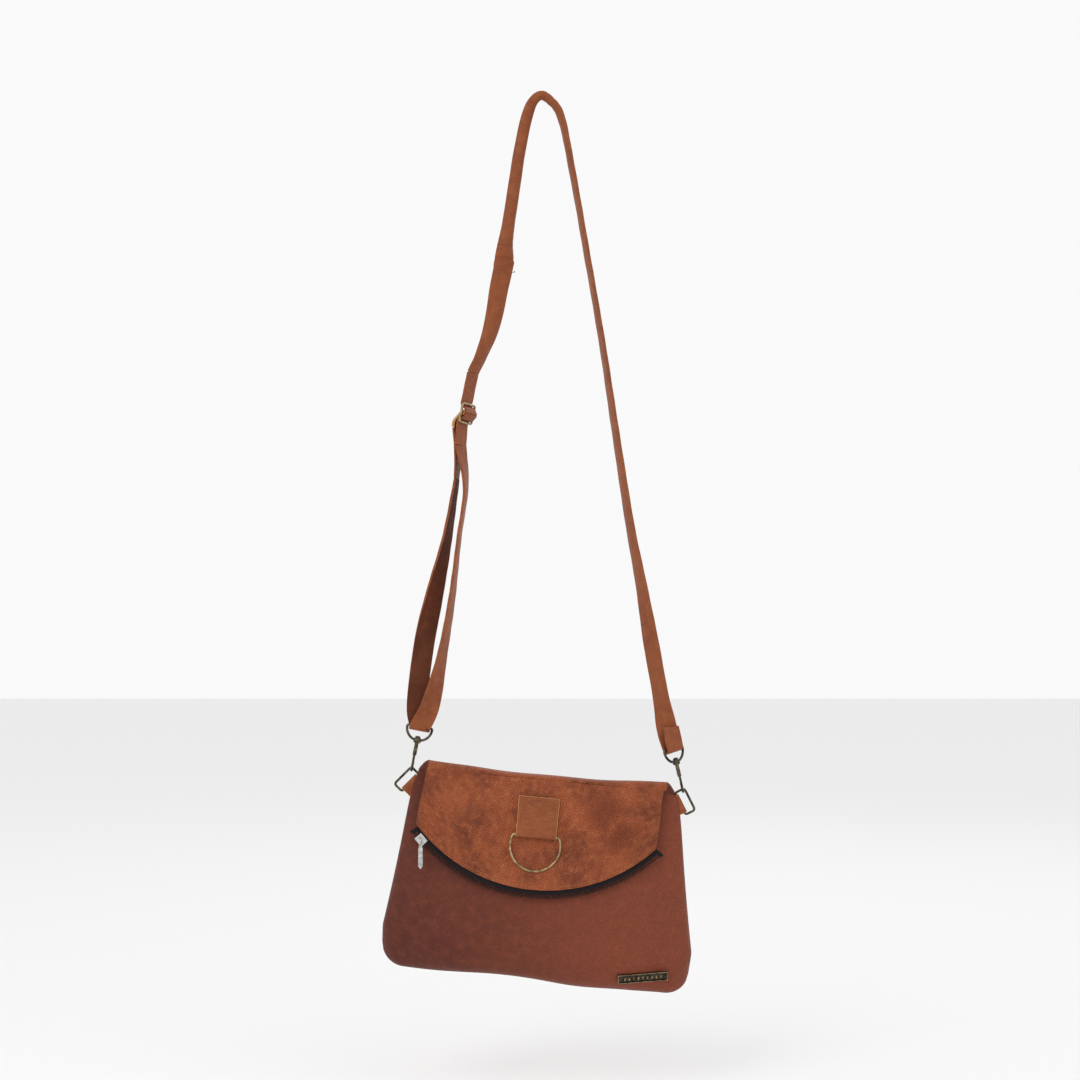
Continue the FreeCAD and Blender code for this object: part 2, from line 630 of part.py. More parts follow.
# ---------------------------------------------------------------- snap hooks
def claw_and_shank(side):
    """The hook itself: a rod bent to a claw under a flat shank with a slot for the gate."""
    body = piece("PartDesign::Body", f"{side}_hook", hook_frame(side))
    half, low = size("claw_half"), size("claw_half") - size("claw_wire") - size("ring_wire") - 0.3
    spine = sketch_on(body, "spine", "YZ_Plane")
    top = size("shank_foot") + 3
    spine.addGeometry(Part.LineSegment(Vector(-half, top, 0), Vector(-half, low, 0)))
    spine.addGeometry(arc_between((0, low), half, 180, 360))
    spine.addGeometry(Part.LineSegment(Vector(half, low, 0), Vector(half, size("claw_tip"), 0)))
    rod = sketch_on(body, "rod", "XY_Plane", top)
    circle(rod, 0, -half, size("claw_wire"), "Sizes.claw_wire")
    pipe(body, spine, rod)
    shank = sketch_on(body, "shank", "YZ_Plane")
    foot, head = size("shank_foot"), size("shank_top")
    wide, slim = half + size("claw_wire"), 3.0
    right_side = [(wide, foot), (wide, foot + 4), (slim, head)]
    left_side = [(-slim, head), (-wide, foot + 4), (-wide, foot)]
    outline(shank, right_side + left_side)
    pad(body, shank, "Sizes.shank_depth", "shank_pad", True)
    slot = sketch_on(body, "slot", "YZ_Plane")
    outline(slot, [(0.2, foot - 3), (wide + 2, foot - 3), (wide + 2, foot + 6), (0.2, foot + 6)])
    pad(body, slot, "Sizes.slot_width", "slot_cut", True, "PartDesign::Pocket")
    hole = sketch_on(body, "pin_hole", "YZ_Plane")
    circle(hole, size("gate_pin_y"), size("gate_pin_z"), size("gate_pin_radius"), "Sizes.gate_pin_radius")
    pad(body, hole, "Sizes.shank_depth + 2", "pin_cut", True, "PartDesign::Pocket")
    return body


def gate(side):
    """The sprung lever that closes the claw, with a thumb knob."""
    body = piece("PartDesign::Body", f"{side}_gate", hook_frame(side))
    lever = sketch_on(body, "lever", "YZ_Plane")
    y, z = size("gate_pin_y"), size("gate_pin_z")
    tip = size("claw_tip") + 0.4
    outline(
        lever,
        [(y - 0.8, z + 1.2), (y + 0.8, z + 1.2), (y + 1.2, z - 3.5), (y + 3.2, z - 4.2), (y + 3.2, z - 5.6),
         (y + 1.2, z - 6.6), (y + 1.2, tip), (y - 0.8, tip)],
    )
    pad(body, lever, "Sizes.gate_sheet", "lever_pad", True)
    hole = sketch_on(body, "pin_hole", "YZ_Plane")
    circle(hole, y, z, size("gate_pin_radius") + 0.05, "Sizes.gate_pin_radius + 0.05")
    pad(body, hole, "Sizes.gate_sheet + 2", "pin_cut", True, "PartDesign::Pocket")
    return body


def rod_along_x(name, place, y, z, radius, length):
    body = piece("PartDesign::Body", name, place)
    sketch = sketch_on(body, "section", "YZ_Plane")
    circle(sketch, y, z, size(radius), f"Sizes.{radius}")
    pad(body, sketch, length, "rod", True)
    return body


def gate_spring(side):
    """A small coil pressed between the slot's floor and the gate."""
    coil = piece("Part::Cylinder", f"{side}_gate_spring", Placement())
    coil.Radius = 0.6
    coil.Height = 2.0
    seat = Placement(Vector(0, 0.35, size("shank_foot") + 0.3), Rotation(X_AXIS, -90))
    coil.Placement = hook_frame(side) * seat
    return coil


def swivel_rivet(side):
    """The post that turns in the eye's barrel, with a domed head above it."""
    body = piece("PartDesign::Body", f"{side}_swivel_rivet", hook_frame(side))
    sketch = sketch_on(body, "half_section", "XZ_Plane")
    foot, under = size("shank_top"), size("barrel_top") + 0.3
    post, head = size("post_radius"), 2.6
    outline(sketch, [(0, foot), (post, foot), (post, under), (head, under), (head, under + 0.8),
                     (head * 0.7, under + 1.6), (0, under + 2.0)])
    turn = body.newObject("PartDesign::Revolution", "turned")
    turn.Profile = sketch
    turn.ReferenceAxis = (sketch, ["V_Axis"])
    turn.Angle = 360
    return body


def eye(side):
    """A D of wire for the strap, with a barrel at its foot for the swivel post."""
    body = piece("PartDesign::Body", f"{side}_eye", eye_frame(side))
    wire_dee(body, "eye_radius", "eye_bar", "eye_bend", "eye_wire", 0.0)
    doc.recompute()
    middle = -size("eye_radius")
    half = (size("barrel_top") - size("barrel_foot")) / 2
    barrel = sketch_on(body, "barrel", "XY_Plane", middle - half)
    circle(barrel, 0, 0, size("barrel_radius"), "Sizes.barrel_radius")
    pad(body, barrel, "Sizes.barrel_top - Sizes.barrel_foot", "barrel_pad")
    bore = sketch_on(body, "bore", "XY_Plane", middle)
    circle(bore, 0, 0, size("post_radius"), "Sizes.post_radius + Sizes.swivel_gap")
    pad(body, bore, "Sizes.barrel_top - Sizes.barrel_foot + 4", "bore_cut", True, "PartDesign::Pocket")
    return body


for hand in ("left", "right"):
    side_tab(hand)
    wire_rectangle(
        f"{hand}_ring", tab_frame(hand), "ring_length", size("ring_height"), "ring_bend", "ring_wire"
    )
    claw_and_shank(hand)
    gate(hand)
    rod_along_x(
        f"{hand}_gate_pin", hook_frame(hand), size("gate_pin_y"), size("gate_pin_z"),
        "gate_pin_radius", "Sizes.shank_depth",
    )
    gate_spring(hand)
    swivel_rivet(hand)
    eye(hand)


# ---------------------------------------------------------------- name plate
def front_surface(x, drop):
    """The pouch's front face in the bag frame, as half_lens draws it."""
    middle, half, front, _ = profile_at(drop)
    angle = math.acos(min(1.0, abs(x - middle) / half) ** (1 / 0.62))
    return Vector(x, -front * math.sin(angle) ** 0.85, -drop)


def plate_frame():
    """On the front bulge, with -Y along the leather's outward normal."""
    x, drop, step = size("plate_x"), size("plate_drop"), 6.0
    here = front_surface(x, drop)
    across = front_surface(x + step, drop) - front_surface(x - step, drop)
    upward = front_surface(x, drop - step) - front_surface(x, drop + step)
    inward = upward.cross(across).normalize()
    turn = Rotation(across, inward, upward, "YXZ")
    spin = Rotation(Y_AXIS, -size("plate_turn"))
    return BAG * Placement(here, turn * spin)


PLATE = plate_frame()


def name_plate():
    """A cast plate with a raised rim round a sunk field."""
    body = block("name_plate", PLATE, "Sizes.plate_width", "Sizes.plate_height", "Sizes.plate_sheet", y=-0.8)
    field = sketch_on(body, "field", "XZ_Plane", 0.8 + size("plate_sheet"))
    rectangle(field, "Sizes.plate_width - 2 * Sizes.plate_rim", "Sizes.plate_height - 2 * Sizes.plate_rim")
    pad(body, field, "Sizes.plate_sheet * 0.45", "field_cut", False, "PartDesign::Pocket")
    return body


name_plate()


def plate_pins():
    """Two prongs that hold the plate to the leather, bent flat inside in the real one."""
    pins = []
    for side in (-1, 1):
        foot = Vector(side * size("plate_width") * 0.38, -0.8, 0)
        pins.append(Part.makeCylinder(0.8, 3.4, foot, Y_AXIS))
    shaped("name_plate_pins", Part.makeCompound(pins), PLATE)


plate_pins()


# ---------------------------------------------------------------- strap
def eased(rows, count):
    """A smooth run through rows of numbers (Catmull-Rom), count steps a span."""
    padded = [rows[0]] + rows + [rows[-1]]
    found = []
    for a, b, c, d in zip(padded, padded[1:], padded[2:], padded[3:]):
        for step in range(count):
            t = step / count
            found.append([
                0.5 * (2 * q + (r - p) * t
                       + (2 * p - 5 * q + 4 * r - s) * t**2
                       + (3 * q - p - 3 * r + s) * t**3)
                for p, q, r, s in zip(a, b, c, d)
            ])
    return found + [rows[-1]]


def station(x, y, z, turn):
    """A place on the route and the strap's width there: along X at 0 degrees, along Y at 90."""
    angle = math.radians(turn)
    return [x, y, z, math.cos(angle), math.sin(angle), 0.0]


def stations(rows, count=3):
    """Centres and width directions along rows of place and width, or of place and turn."""
    full = [station(*row) if len(row) == 4 else row for row in rows]
    return [(Vector(*row[:3]), Vector(*row[3:]).normalize()) for row in eased(full, count)]


def ribbon(line, sheet_size):
    """A flat strap as a ruled solid through its stations."""
    wires = []
    half, thick = size("strap_width") / 2, sheet_size / 2
    for number, (centre, width) in enumerate(line):
        before = line[max(number - 1, 0)][0]
        after = line[min(number + 1, len(line) - 1)][0]
        ahead = (after - before).normalize()
        across = (width - ahead * width.dot(ahead)).normalize()
        normal = ahead.cross(across)
        corners = [
            centre + across * half + normal * thick,
            centre - across * half + normal * thick,
            centre - across * half - normal * thick,
            centre + across * half - normal * thick,
        ]
        wires.append(Part.makePolygon(corners + corners[:1]))
    return Part.makeLoft(wires, True, True)


def round_bar(frame, centre, radius, first, last, steps):
    """Stations round a bar along the frame's X, by angle from its -Y side downwards."""
    found = []
    width = frame.Rotation.multVec(X_AXIS)
    for step in range(steps + 1):
        angle = math.radians(first + (last - first) * step / steps)
        local = centre + Vector(0, -radius * math.cos(angle), -radius * math.sin(angle))
        found.append((frame.multVec(local), width))
    return found


LEFT_EYE = eye_frame("left")
RIGHT_EYE = eye_frame("right")
EYE_BAR = Vector(0, 0, size("eye_bar"))
LOOP = size("loop_radius")

# Long piece: from the seam up over the peg and down to the right snap hook.
LONG_ROUTE = [
    (-37.0, 0, -167.0, 34),
    (-31.2, 0, -123.3, 40),
    (-21.4, 0, -65.0, 45),
    (-12.7, 0, -20.0, 62),
    (-6.5, 0, -3.6, 82),
    (0.5, 0, 1.3, 90),
    (9.0, 0, -3.8, 96),
    (18.5, 0, -20.0, 100),
    (28.2, 0, -65.0, 100),
    (43.8, 0, -152.5, 98),
    (58.9, 0, -240.2, 98),
    (72.1, 0, -327.9, 112),
    (85.7, 0, -415.5, 122),
    (96.9, 0, -474.0, 132),
    (107.1, 1, -532.4, 146),
    (117.9, 3, -590.8, 144),
]
right_loop = round_bar(RIGHT_EYE, EYE_BAR, LOOP, 180, 0, 8)
tail_top = RIGHT_EYE.multVec(EYE_BAR + Vector(0, -LOOP + 0.1, 21))
long_line = [(c, w * -1) for c, w in stations(LONG_ROUTE)]
long_line += right_loop + [(tail_top, right_loop[-1][1])]
shaped("strap_long_piece", ribbon(long_line, size("strap_sheet")))

# Short piece: seam, adjuster, front leg, left snap hook, back leg, and its end sewn round the adjuster.
MIDDLE_UP = ADJUSTER.Rotation.multVec(Z_AXIS)
OUTWARD = ADJUSTER.Rotation.multVec(Vector(0, -1, 0))
ALONG_BAR = ADJUSTER.Rotation.multVec(X_AXIS)
SEWN_RADIUS = size("adjuster_wire") + 0.2 + size("sewn_sheet") / 2
OVER_BAR = SEWN_RADIUS + size("sewn_sheet") / 2 + 0.7 + size("strap_sheet") / 2
UNDER_BAR = size("adjuster_wire") + 0.5 + size("strap_sheet") / 2


def on_adjuster(along, out):
    """A strap station at the adjuster, along the strap and out from the middle bar."""
    at = ADJUSTER.Base + MIDDLE_UP * along + OUTWARD * out
    return [*at, *ALONG_BAR]


half_frame = size("adjuster_half")
PASS_ABOVE, PASS_BELOW = 40.0, -32.0
above_pass = on_adjuster(PASS_ABOVE, -UNDER_BAR)
below_pass = on_adjuster(PASS_BELOW, -UNDER_BAR + 3.0)
upper_rows = [
    (-32.0, -2.4, -151.0, 35),
    (-35.3, -2.4, -166.0, 34),
    (-40.0, -1.4, -186.0, 30),
    (-47.6, -0.8, -222.0, 34),
    (-57.6, -0.9, -250.0, 52),
    above_pass,
]
shaped("strap_short_piece_upper", ribbon(stations(upper_rows), size("strap_sheet")))

# The stretch that threads the adjuster: under its upper bar, over the middle, under the lower one.
# It runs straight between the round it makes over the middle and the rounds under the outer bars.
LEANING = (OVER_BAR + UNDER_BAR) / half_frame
ACROSS = math.sqrt(1 - LEANING**2)
over_edge = (OVER_BAR * LEANING, OVER_BAR * ACROSS)
under_edge = (half_frame - UNDER_BAR * LEANING, -UNDER_BAR * ACROSS)
halfway = ((over_edge[0] + under_edge[0]) / 2, (over_edge[1] + under_edge[1]) / 2)
pass_rows = [
    above_pass,
    on_adjuster(half_frame + 8, -UNDER_BAR),
    on_adjuster(half_frame, -UNDER_BAR),
    on_adjuster(*under_edge),
    on_adjuster(*halfway),
    on_adjuster(*over_edge),
    on_adjuster(0, OVER_BAR),
    on_adjuster(-over_edge[0], over_edge[1]),
    on_adjuster(-halfway[0], halfway[1]),
    on_adjuster(-under_edge[0], under_edge[1]),
    on_adjuster(-half_frame, -UNDER_BAR),
    on_adjuster(-half_frame - 9, -UNDER_BAR + 1.0),
    below_pass,
]
shaped("strap_adjuster_pass", ribbon(stations(pass_rows), size("strap_sheet")))

front_rows = [
    below_pass,
    (-73.0, -3.0, -380.0, 82),
    (-79.5, -4.0, -430.0, 84),
    (-86.5, -4.5, -489.0, 78),
    (-96.5, -4.0, -547.0, 66),
    (-107.5, -4.0, -592.0, 30),
]
left_loop = round_bar(LEFT_EYE, EYE_BAR, LOOP, 0, 150, 8)
shaped("strap_short_piece_front_leg", ribbon(stations(front_rows) + left_loop, size("strap_sheet")))

back_top = (-82.5, 4.0, -372.0, 82)
back_rows = [
    (-121.0, 5.0, -590.8, 6),
    (-114.0, 6.5, -532.4, 10),
    (-104.0, 6.0, -484.0, 38),
    (-92.0, 5.0, -430.0, 68),
    back_top,
]
left_back = round_bar(LEFT_EYE, EYE_BAR, LOOP, 154, 180, 2)
shaped("strap_short_piece_back_leg", ribbon(left_back + stations(back_rows), size("strap_sheet")))
# The pared end lies in two layers behind the running strap, down to this foot.
SEWN_INNER = UNDER_BAR + size("strap_sheet") / 2 + 1.0 + size("sewn_sheet") / 2
SEWN_OUTER = SEWN_INNER + size("sewn_sheet") + 0.1
SEWN_END = -15.5
link_rows = [
    back_top,
    (-81.0, 4.2, -346.0, 74),
    on_adjuster(SEWN_END - 2.6, -(SEWN_INNER + SEWN_OUTER) / 2),
]
shaped("strap_back_leg_top", ribbon(stations(link_rows), size("strap_sheet")))

# The adjuster: a wire frame with a middle bar, and the pared strap end sewn round that bar.
wire_rectangle(
    "adjuster_frame", ADJUSTER, "adjuster_width", 2 * size("adjuster_half"), "adjuster_bend",
    "adjuster_wire", -size("adjuster_half"),
)
rod_along_x(
    "adjuster_bar", ADJUSTER, 0, 0, "adjuster_wire", "Sizes.adjuster_width - 2 * Sizes.adjuster_wire"
)


def sewn_end():
    """The strap's pared end round the middle bar, both its layers running down behind the lower bar."""
    round_part = round_bar(ADJUSTER, Vector(), SEWN_RADIUS, -180, 53, 10)
    width = round_part[0][1]

    def behind(radius):
        crossing = (radius * ACROSS, -half_frame + radius * LEANING)
        places = [(radius, SEWN_END), (radius, -half_frame), crossing]
        return [(ADJUSTER.multVec(Vector(0, y, z)), width) for y, z in places]

    return ribbon(behind(SEWN_OUTER) + round_part + behind(SEWN_INNER)[::-1], size("sewn_sheet"))


shaped("strap_sewn_end", sewn_end())


# ---------------------------------------------------------------- output
doc.recompute()
os.makedirs("parts", exist_ok=True)
for made in PIECES:
    state = [word for word in made.State if word in ("Invalid", "Error")]
    if state or made.Shape.isNull() or not made.Shape.isValid():
        raise RuntimeError(f"{made.Label}: {made.State}, null {made.Shape.isNull()}")
for made in PIECES:
    box = made.Shape.BoundBox
    print(f"{made.Label:30s} {made.Shape.Volume:10.1f} mm3  {len(made.Shape.Solids)} solid(s)  "
          f"{box.XLength:6.1f} {box.YLength:6.1f} {box.ZLength:6.1f}")
    made.Shape.exportStep(f"parts/{made.Label}.step")


def told(name, point, frame=None):
    spot = frame.multVec(point) if frame else point
    print(f"{name}: {spot.x / 1000:.6f}, {spot.y / 1000:.6f}, {spot.z / 1000:.6f}")


told("flap hinge", Vector(), FLAP)
told("arc centre", Vector(size("flap_shift"), 0, ARC_Z), FLAP)
told("flap normal", Vector(0, -1000, 0), Placement(Vector(), FLAP.Rotation))
told("bag x", Vector(1000, 0, 0), Placement(Vector(), BAG.Rotation))
told("bridge", BRIDGE_EYE)
told("slider z", Vector(0, 0, 1000), Placement(Vector(), SLIDER.Rotation))
told("link foot", LINK_FOOT)
told("d ring bar", Vector(0, 0, size("dring_bar")), DRING)
for hand in ("left", "right"):
    told(f"{hand} ring bar", Vector(), tab_frame(hand))
    told(f"{hand} bar way", X_AXIS * 1000, Placement(Vector(), tab_frame(hand).Rotation))
    told(f"{hand} hook", Vector(), hook_frame(hand))
    told(f"{hand} hook up", Z_AXIS * 1000, Placement(Vector(), hook_frame(hand).Rotation))
    told(f"{hand} gate pin", Vector(0, size("gate_pin_y"), size("gate_pin_z")), hook_frame(hand))
told("adjuster", Vector(), ADJUSTER)
told("adjuster up", Z_AXIS * 1000, Placement(Vector(), ADJUSTER.Rotation))
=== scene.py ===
# %% [markdown]
# # A fold-over sling bag
# The metal parts come from the CAD frame, because they are hard and their shapes are exact.  The leather,
# the strap, the zip's chain and the stitches are made here around them.  Sizes are written in millimetres,
# and MM turns them into Blender's metres.

# %% Load the frame
import json
import math

import bpy
import numpy as np
from mathutils import Matrix, Vector


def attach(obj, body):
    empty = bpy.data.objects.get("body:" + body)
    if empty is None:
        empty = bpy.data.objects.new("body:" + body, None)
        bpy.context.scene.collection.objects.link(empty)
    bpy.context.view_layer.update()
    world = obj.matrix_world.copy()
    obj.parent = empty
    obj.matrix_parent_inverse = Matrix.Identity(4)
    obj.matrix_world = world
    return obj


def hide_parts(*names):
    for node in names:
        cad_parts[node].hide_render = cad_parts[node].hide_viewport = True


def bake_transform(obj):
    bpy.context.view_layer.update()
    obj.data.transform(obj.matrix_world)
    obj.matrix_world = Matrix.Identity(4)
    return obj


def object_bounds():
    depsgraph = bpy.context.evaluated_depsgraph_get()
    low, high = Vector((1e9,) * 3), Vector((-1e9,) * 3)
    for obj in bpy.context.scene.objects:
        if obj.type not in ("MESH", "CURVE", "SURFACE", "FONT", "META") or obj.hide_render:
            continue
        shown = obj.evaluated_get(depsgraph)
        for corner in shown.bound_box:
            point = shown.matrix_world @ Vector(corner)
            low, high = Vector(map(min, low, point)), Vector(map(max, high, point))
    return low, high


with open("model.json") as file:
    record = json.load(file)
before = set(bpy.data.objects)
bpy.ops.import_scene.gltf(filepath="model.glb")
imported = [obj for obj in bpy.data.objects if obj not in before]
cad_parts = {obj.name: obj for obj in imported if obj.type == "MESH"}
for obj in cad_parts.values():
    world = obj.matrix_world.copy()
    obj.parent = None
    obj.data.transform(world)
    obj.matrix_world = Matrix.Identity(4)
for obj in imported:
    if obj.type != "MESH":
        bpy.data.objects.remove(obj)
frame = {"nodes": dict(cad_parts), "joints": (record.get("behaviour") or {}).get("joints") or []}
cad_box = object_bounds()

MM = 0.001
print("CAD box", [list(corner) for corner in cad_box])

# %% [markdown]
# ## Frames of reference
# The bag hangs a little crooked, so it is easier to draw it upright in a frame of its own.  The joints of
# the CAD model give that frame: the flap's hinge runs along the bag's X, and the zip's slider turns about
# the normal of the flap.

# %% Bag and flap frames
joints = {joint["name"]: joint for joint in frame["joints"]}


def pivot(name):
    return Vector(joints[name]["pos_m"])


def axis(name):
    return Vector(joints[name]["axis"]).normalized()


def frame_from(x, y, origin):
    """A frame with its X and Y given; Z follows from them."""
    matrix = Matrix((x, y, x.cross(y))).transposed().to_4x4()
    matrix.translation = origin
    return matrix


FLAP_LEAN = math.radians(11)
HINGE_Y, HINGE_Z = -4.0, -10.0
flap_frame = frame_from(-axis("flap_fold"), -axis("zip_travel"), pivot("flap_fold"))
bag_frame = (
    flap_frame
    @ Matrix.Rotation(FLAP_LEAN, 4, "X")
    @ Matrix.Translation(Vector((0, -HINGE_Y, -HINGE_Z)) * MM)
)
print("bag frame starts at", tuple(round(c, 4) for c in bag_frame.translation))

# %% [markdown]
# ## Working helpers
# Blender's operators act on what is selected, so every helper first clears the selection.  A sheet of
# leather starts as a flat grid.  A formula then lays each of its points on the form, as a maker pulls a hide
# over a last, and Solidify gives it its thickness.

# %% Sheets of leather
def alone(piece):
    """Selects only this piece and makes it active."""
    bpy.ops.object.select_all(action="DESELECT")
    piece.select_set(True)
    bpy.context.view_layer.objects.active = piece


def points_of(piece):
    found = np.empty(len(piece.data.vertices) * 3)
    piece.data.vertices.foreach_get("co", found)
    return found.reshape(-1, 3)


def set_points(piece, points):
    piece.data.vertices.foreach_set("co", np.ascontiguousarray(points, dtype=float).ravel())
    piece.data.update()


def placed(matrix, points):
    """Points in millimetres in a frame, as metres in the world."""
    turn = np.array(matrix.to_3x3())
    return points * MM @ turn.T + np.array(matrix.translation)


def sheet(name, across, along, lay, size_mm, matrix=Matrix(), even=None, span=(0, 1)):
    """A grid laid by lay(u, t), with u and t from 0 to 1, and a UV map in metres of leather.

    even turns the grid's u into the share of the width it really stands for, where lay gathers its lines.
    """
    bpy.ops.object.select_all(action="DESELECT")
    bpy.ops.mesh.primitive_grid_add(x_subdivisions=across, y_subdivisions=along, size=1)
    piece = bpy.context.object
    piece.name = name
    flat = points_of(piece)
    u, t = flat[:, 0] + 0.5, mix(span[0], span[1], flat[:, 1] + 0.5)
    set_points(piece, placed(matrix, np.stack(lay(u, t), axis=1)))
    uvs = piece.data.uv_layers.active.data
    corners = np.empty(len(uvs) * 2)
    uvs.foreach_get("uv", corners)
    corners = corners.reshape(-1, 2)
    if even:
        corners[:, 0] = even(corners[:, 0])
    corners[:, 1] = mix(span[0], span[1], corners[:, 1])
    corners = corners * np.array(size_mm) * MM
    uvs.foreach_set("uv", corners.ravel())
    return piece


def modify(piece, kind, **settings):
    """Adds a modifier and applies it at once."""
    alone(piece)
    modifier = piece.modifiers.new(kind.title(), kind)
    for name, value in settings.items():
        setattr(modifier, name, value)
    bpy.ops.object.modifier_apply(modifier=modifier.name)


def outward(piece):
    alone(piece)
    bpy.ops.object.mode_set(mode="EDIT")
    bpy.ops.mesh.select_all(action="SELECT")
    bpy.ops.mesh.remove_doubles(threshold=0.00001)
    bpy.ops.mesh.normals_make_consistent(inside=False)
    bpy.ops.object.mode_set(mode="OBJECT")


def thicken(piece, thickness_mm, edge_mm=0.0, rim=0):
    """Gives a sheet its thickness, with its cut edges rounded and in the second material."""
    modify(piece, "SOLIDIFY", thickness=thickness_mm * MM, offset=0.0, material_offset_rim=rim)
    if edge_mm:
        modify(piece, "BEVEL", width=edge_mm * MM, segments=2, limit_method="ANGLE",
               angle_limit=math.radians(50), material=rim or -1)
    outward(piece)


def smooth(piece, degrees=40):
    alone(piece)
    bpy.ops.object.shade_smooth_by_angle(angle=math.radians(degrees))


def dress(piece, *materials):
    piece.data.materials.clear()
    for material in materials:
        piece.data.materials.append(material)


def ease(value, low, high):
    """0 below low, 1 above high, and a smooth step between."""
    share = np.clip((value - low) / (high - low), 0, 1)
    return share * share * (3 - 2 * share)


def mix(a, b, share):
    return a + (b - a) * share


# %% [markdown]
# ## Shader maths
# A material is a graph of nodes.  Writing it as Python expressions keeps it readable: the class below wraps
# a socket, and an operator between two of them adds the Math node for it.

# %% Expressions for materials
class Wire:
    """A socket that can be used in Python expressions."""

    def __init__(self, graph, socket):
        self.graph = graph
        self.socket = socket

    def _maths(self, operation, *values, clamp=False):
        made = self.graph.node("ShaderNodeMath", {"operation": operation, "use_clamp": clamp}, *values)
        return made.out()

    def __add__(self, other):
        return self._maths("ADD", self, other)

    __radd__ = __add__

    def __mul__(self, other):
        return self._maths("MULTIPLY", self, other)

    __rmul__ = __mul__

    def __sub__(self, other):
        return self._maths("SUBTRACT", self, other)

    def __rsub__(self, other):
        return self._maths("SUBTRACT", other, self)

    def __pow__(self, other):
        return self._maths("POWER", self, other)

    def between(self, low, high):
        """0 at low and 1 at high, clamped."""
        made = self.graph.node("ShaderNodeMapRange", {"interpolation_type": "SMOOTHSTEP"}, self, low, high)
        return made.out()


class Made:
    """A node, with its outputs by name or number."""

    def __init__(self, graph, node):
        self.graph = graph
        self.node = node

    def out(self, which=0):
        return Wire(self.graph, self.node.outputs[which])


class Graph:
    """The node graph of one material."""

    def __init__(self, name):
        self.material = bpy.data.materials.new(name)
        self.material.use_nodes = True
        self.tree = self.material.node_tree
        self.shader = self.tree.nodes["Principled BSDF"]

    def feed(self, socket, value):
        if isinstance(value, Wire):
            self.tree.links.new(value.socket, socket)
        elif isinstance(value, Made):
            self.tree.links.new(value.node.outputs[0], socket)
        else:
            socket.default_value = value

    def node(self, kind, settings=None, *values, **named):
        """Any node: its settings first, then its sockets in order or by name."""
        node = self.tree.nodes.new(kind)
        for name, value in (settings or {}).items():
            if name == "stops":
                self.ramp(node, value)
            else:
                setattr(node, name, value)
        for number, value in enumerate(values):
            if value is not None:
                self.feed(node.inputs[number], value)
        for name, value in named.items():
            self.feed(node.inputs[name.replace("_", " ")], value)
        return Made(self, node)

    @staticmethod
    def ramp(node, stops):
        elements = node.color_ramp.elements
        while len(elements) < len(stops):
            elements.new(0.5)
        for element, (place, colour) in zip(elements, stops):
            element.position = place
            element.color = (*colour, 1)

    def uv(self, scale=1.0, stretch=(1, 1, 1)):
        """Places on the leather itself, in metres, so that a grain follows the sheet."""
        place = self.node("ShaderNodeUVMap").out()
        return self.node("ShaderNodeMapping", None, Vector=place, Scale=[s * scale for s in stretch]).out()

    def space(self, scale=1.0):
        place = self.node("ShaderNodeTexCoord").out("Object")
        return self.node("ShaderNodeMapping", None, Vector=place, Scale=[scale] * 3).out()

    def noise(self, place, scale, detail=4.0, roughness=0.55):
        return self.node("ShaderNodeTexNoise", None, Vector=place, Scale=scale, Detail=detail,
                         Roughness=roughness).out("Fac")

    def cells(self, place, scale, feature="DISTANCE_TO_EDGE"):
        return self.node("ShaderNodeTexVoronoi", {"feature": feature}, Vector=place, Scale=scale,
                         Randomness=0.9).out("Distance")

    def blend(self, share, a, b):
        """Colour a where share is 0 and b where it is 1."""
        made = self.node("ShaderNodeMix", {"data_type": "RGBA"})
        self.feed(made.node.inputs[0], share)
        self.feed(made.node.inputs[6], (*a, 1) if isinstance(a, tuple) else a)
        self.feed(made.node.inputs[7], (*b, 1) if isinstance(b, tuple) else b)
        return made.out(2)

    def bump(self, height, depth_mm, under=None):
        made = self.node("ShaderNodeBump", None, Strength=1.0, Distance=depth_mm * MM, Height=height)
        if under is not None:
            self.feed(made.node.inputs["Normal"], under)
        return made.out()

    def finish(self, **sockets):
        for name, value in sockets.items():
            socket = self.shader.inputs[name.replace("_", " ")]
            self.feed(socket, (*value, 1) if isinstance(value, tuple) and len(value) == 3 else value)
        return self.material
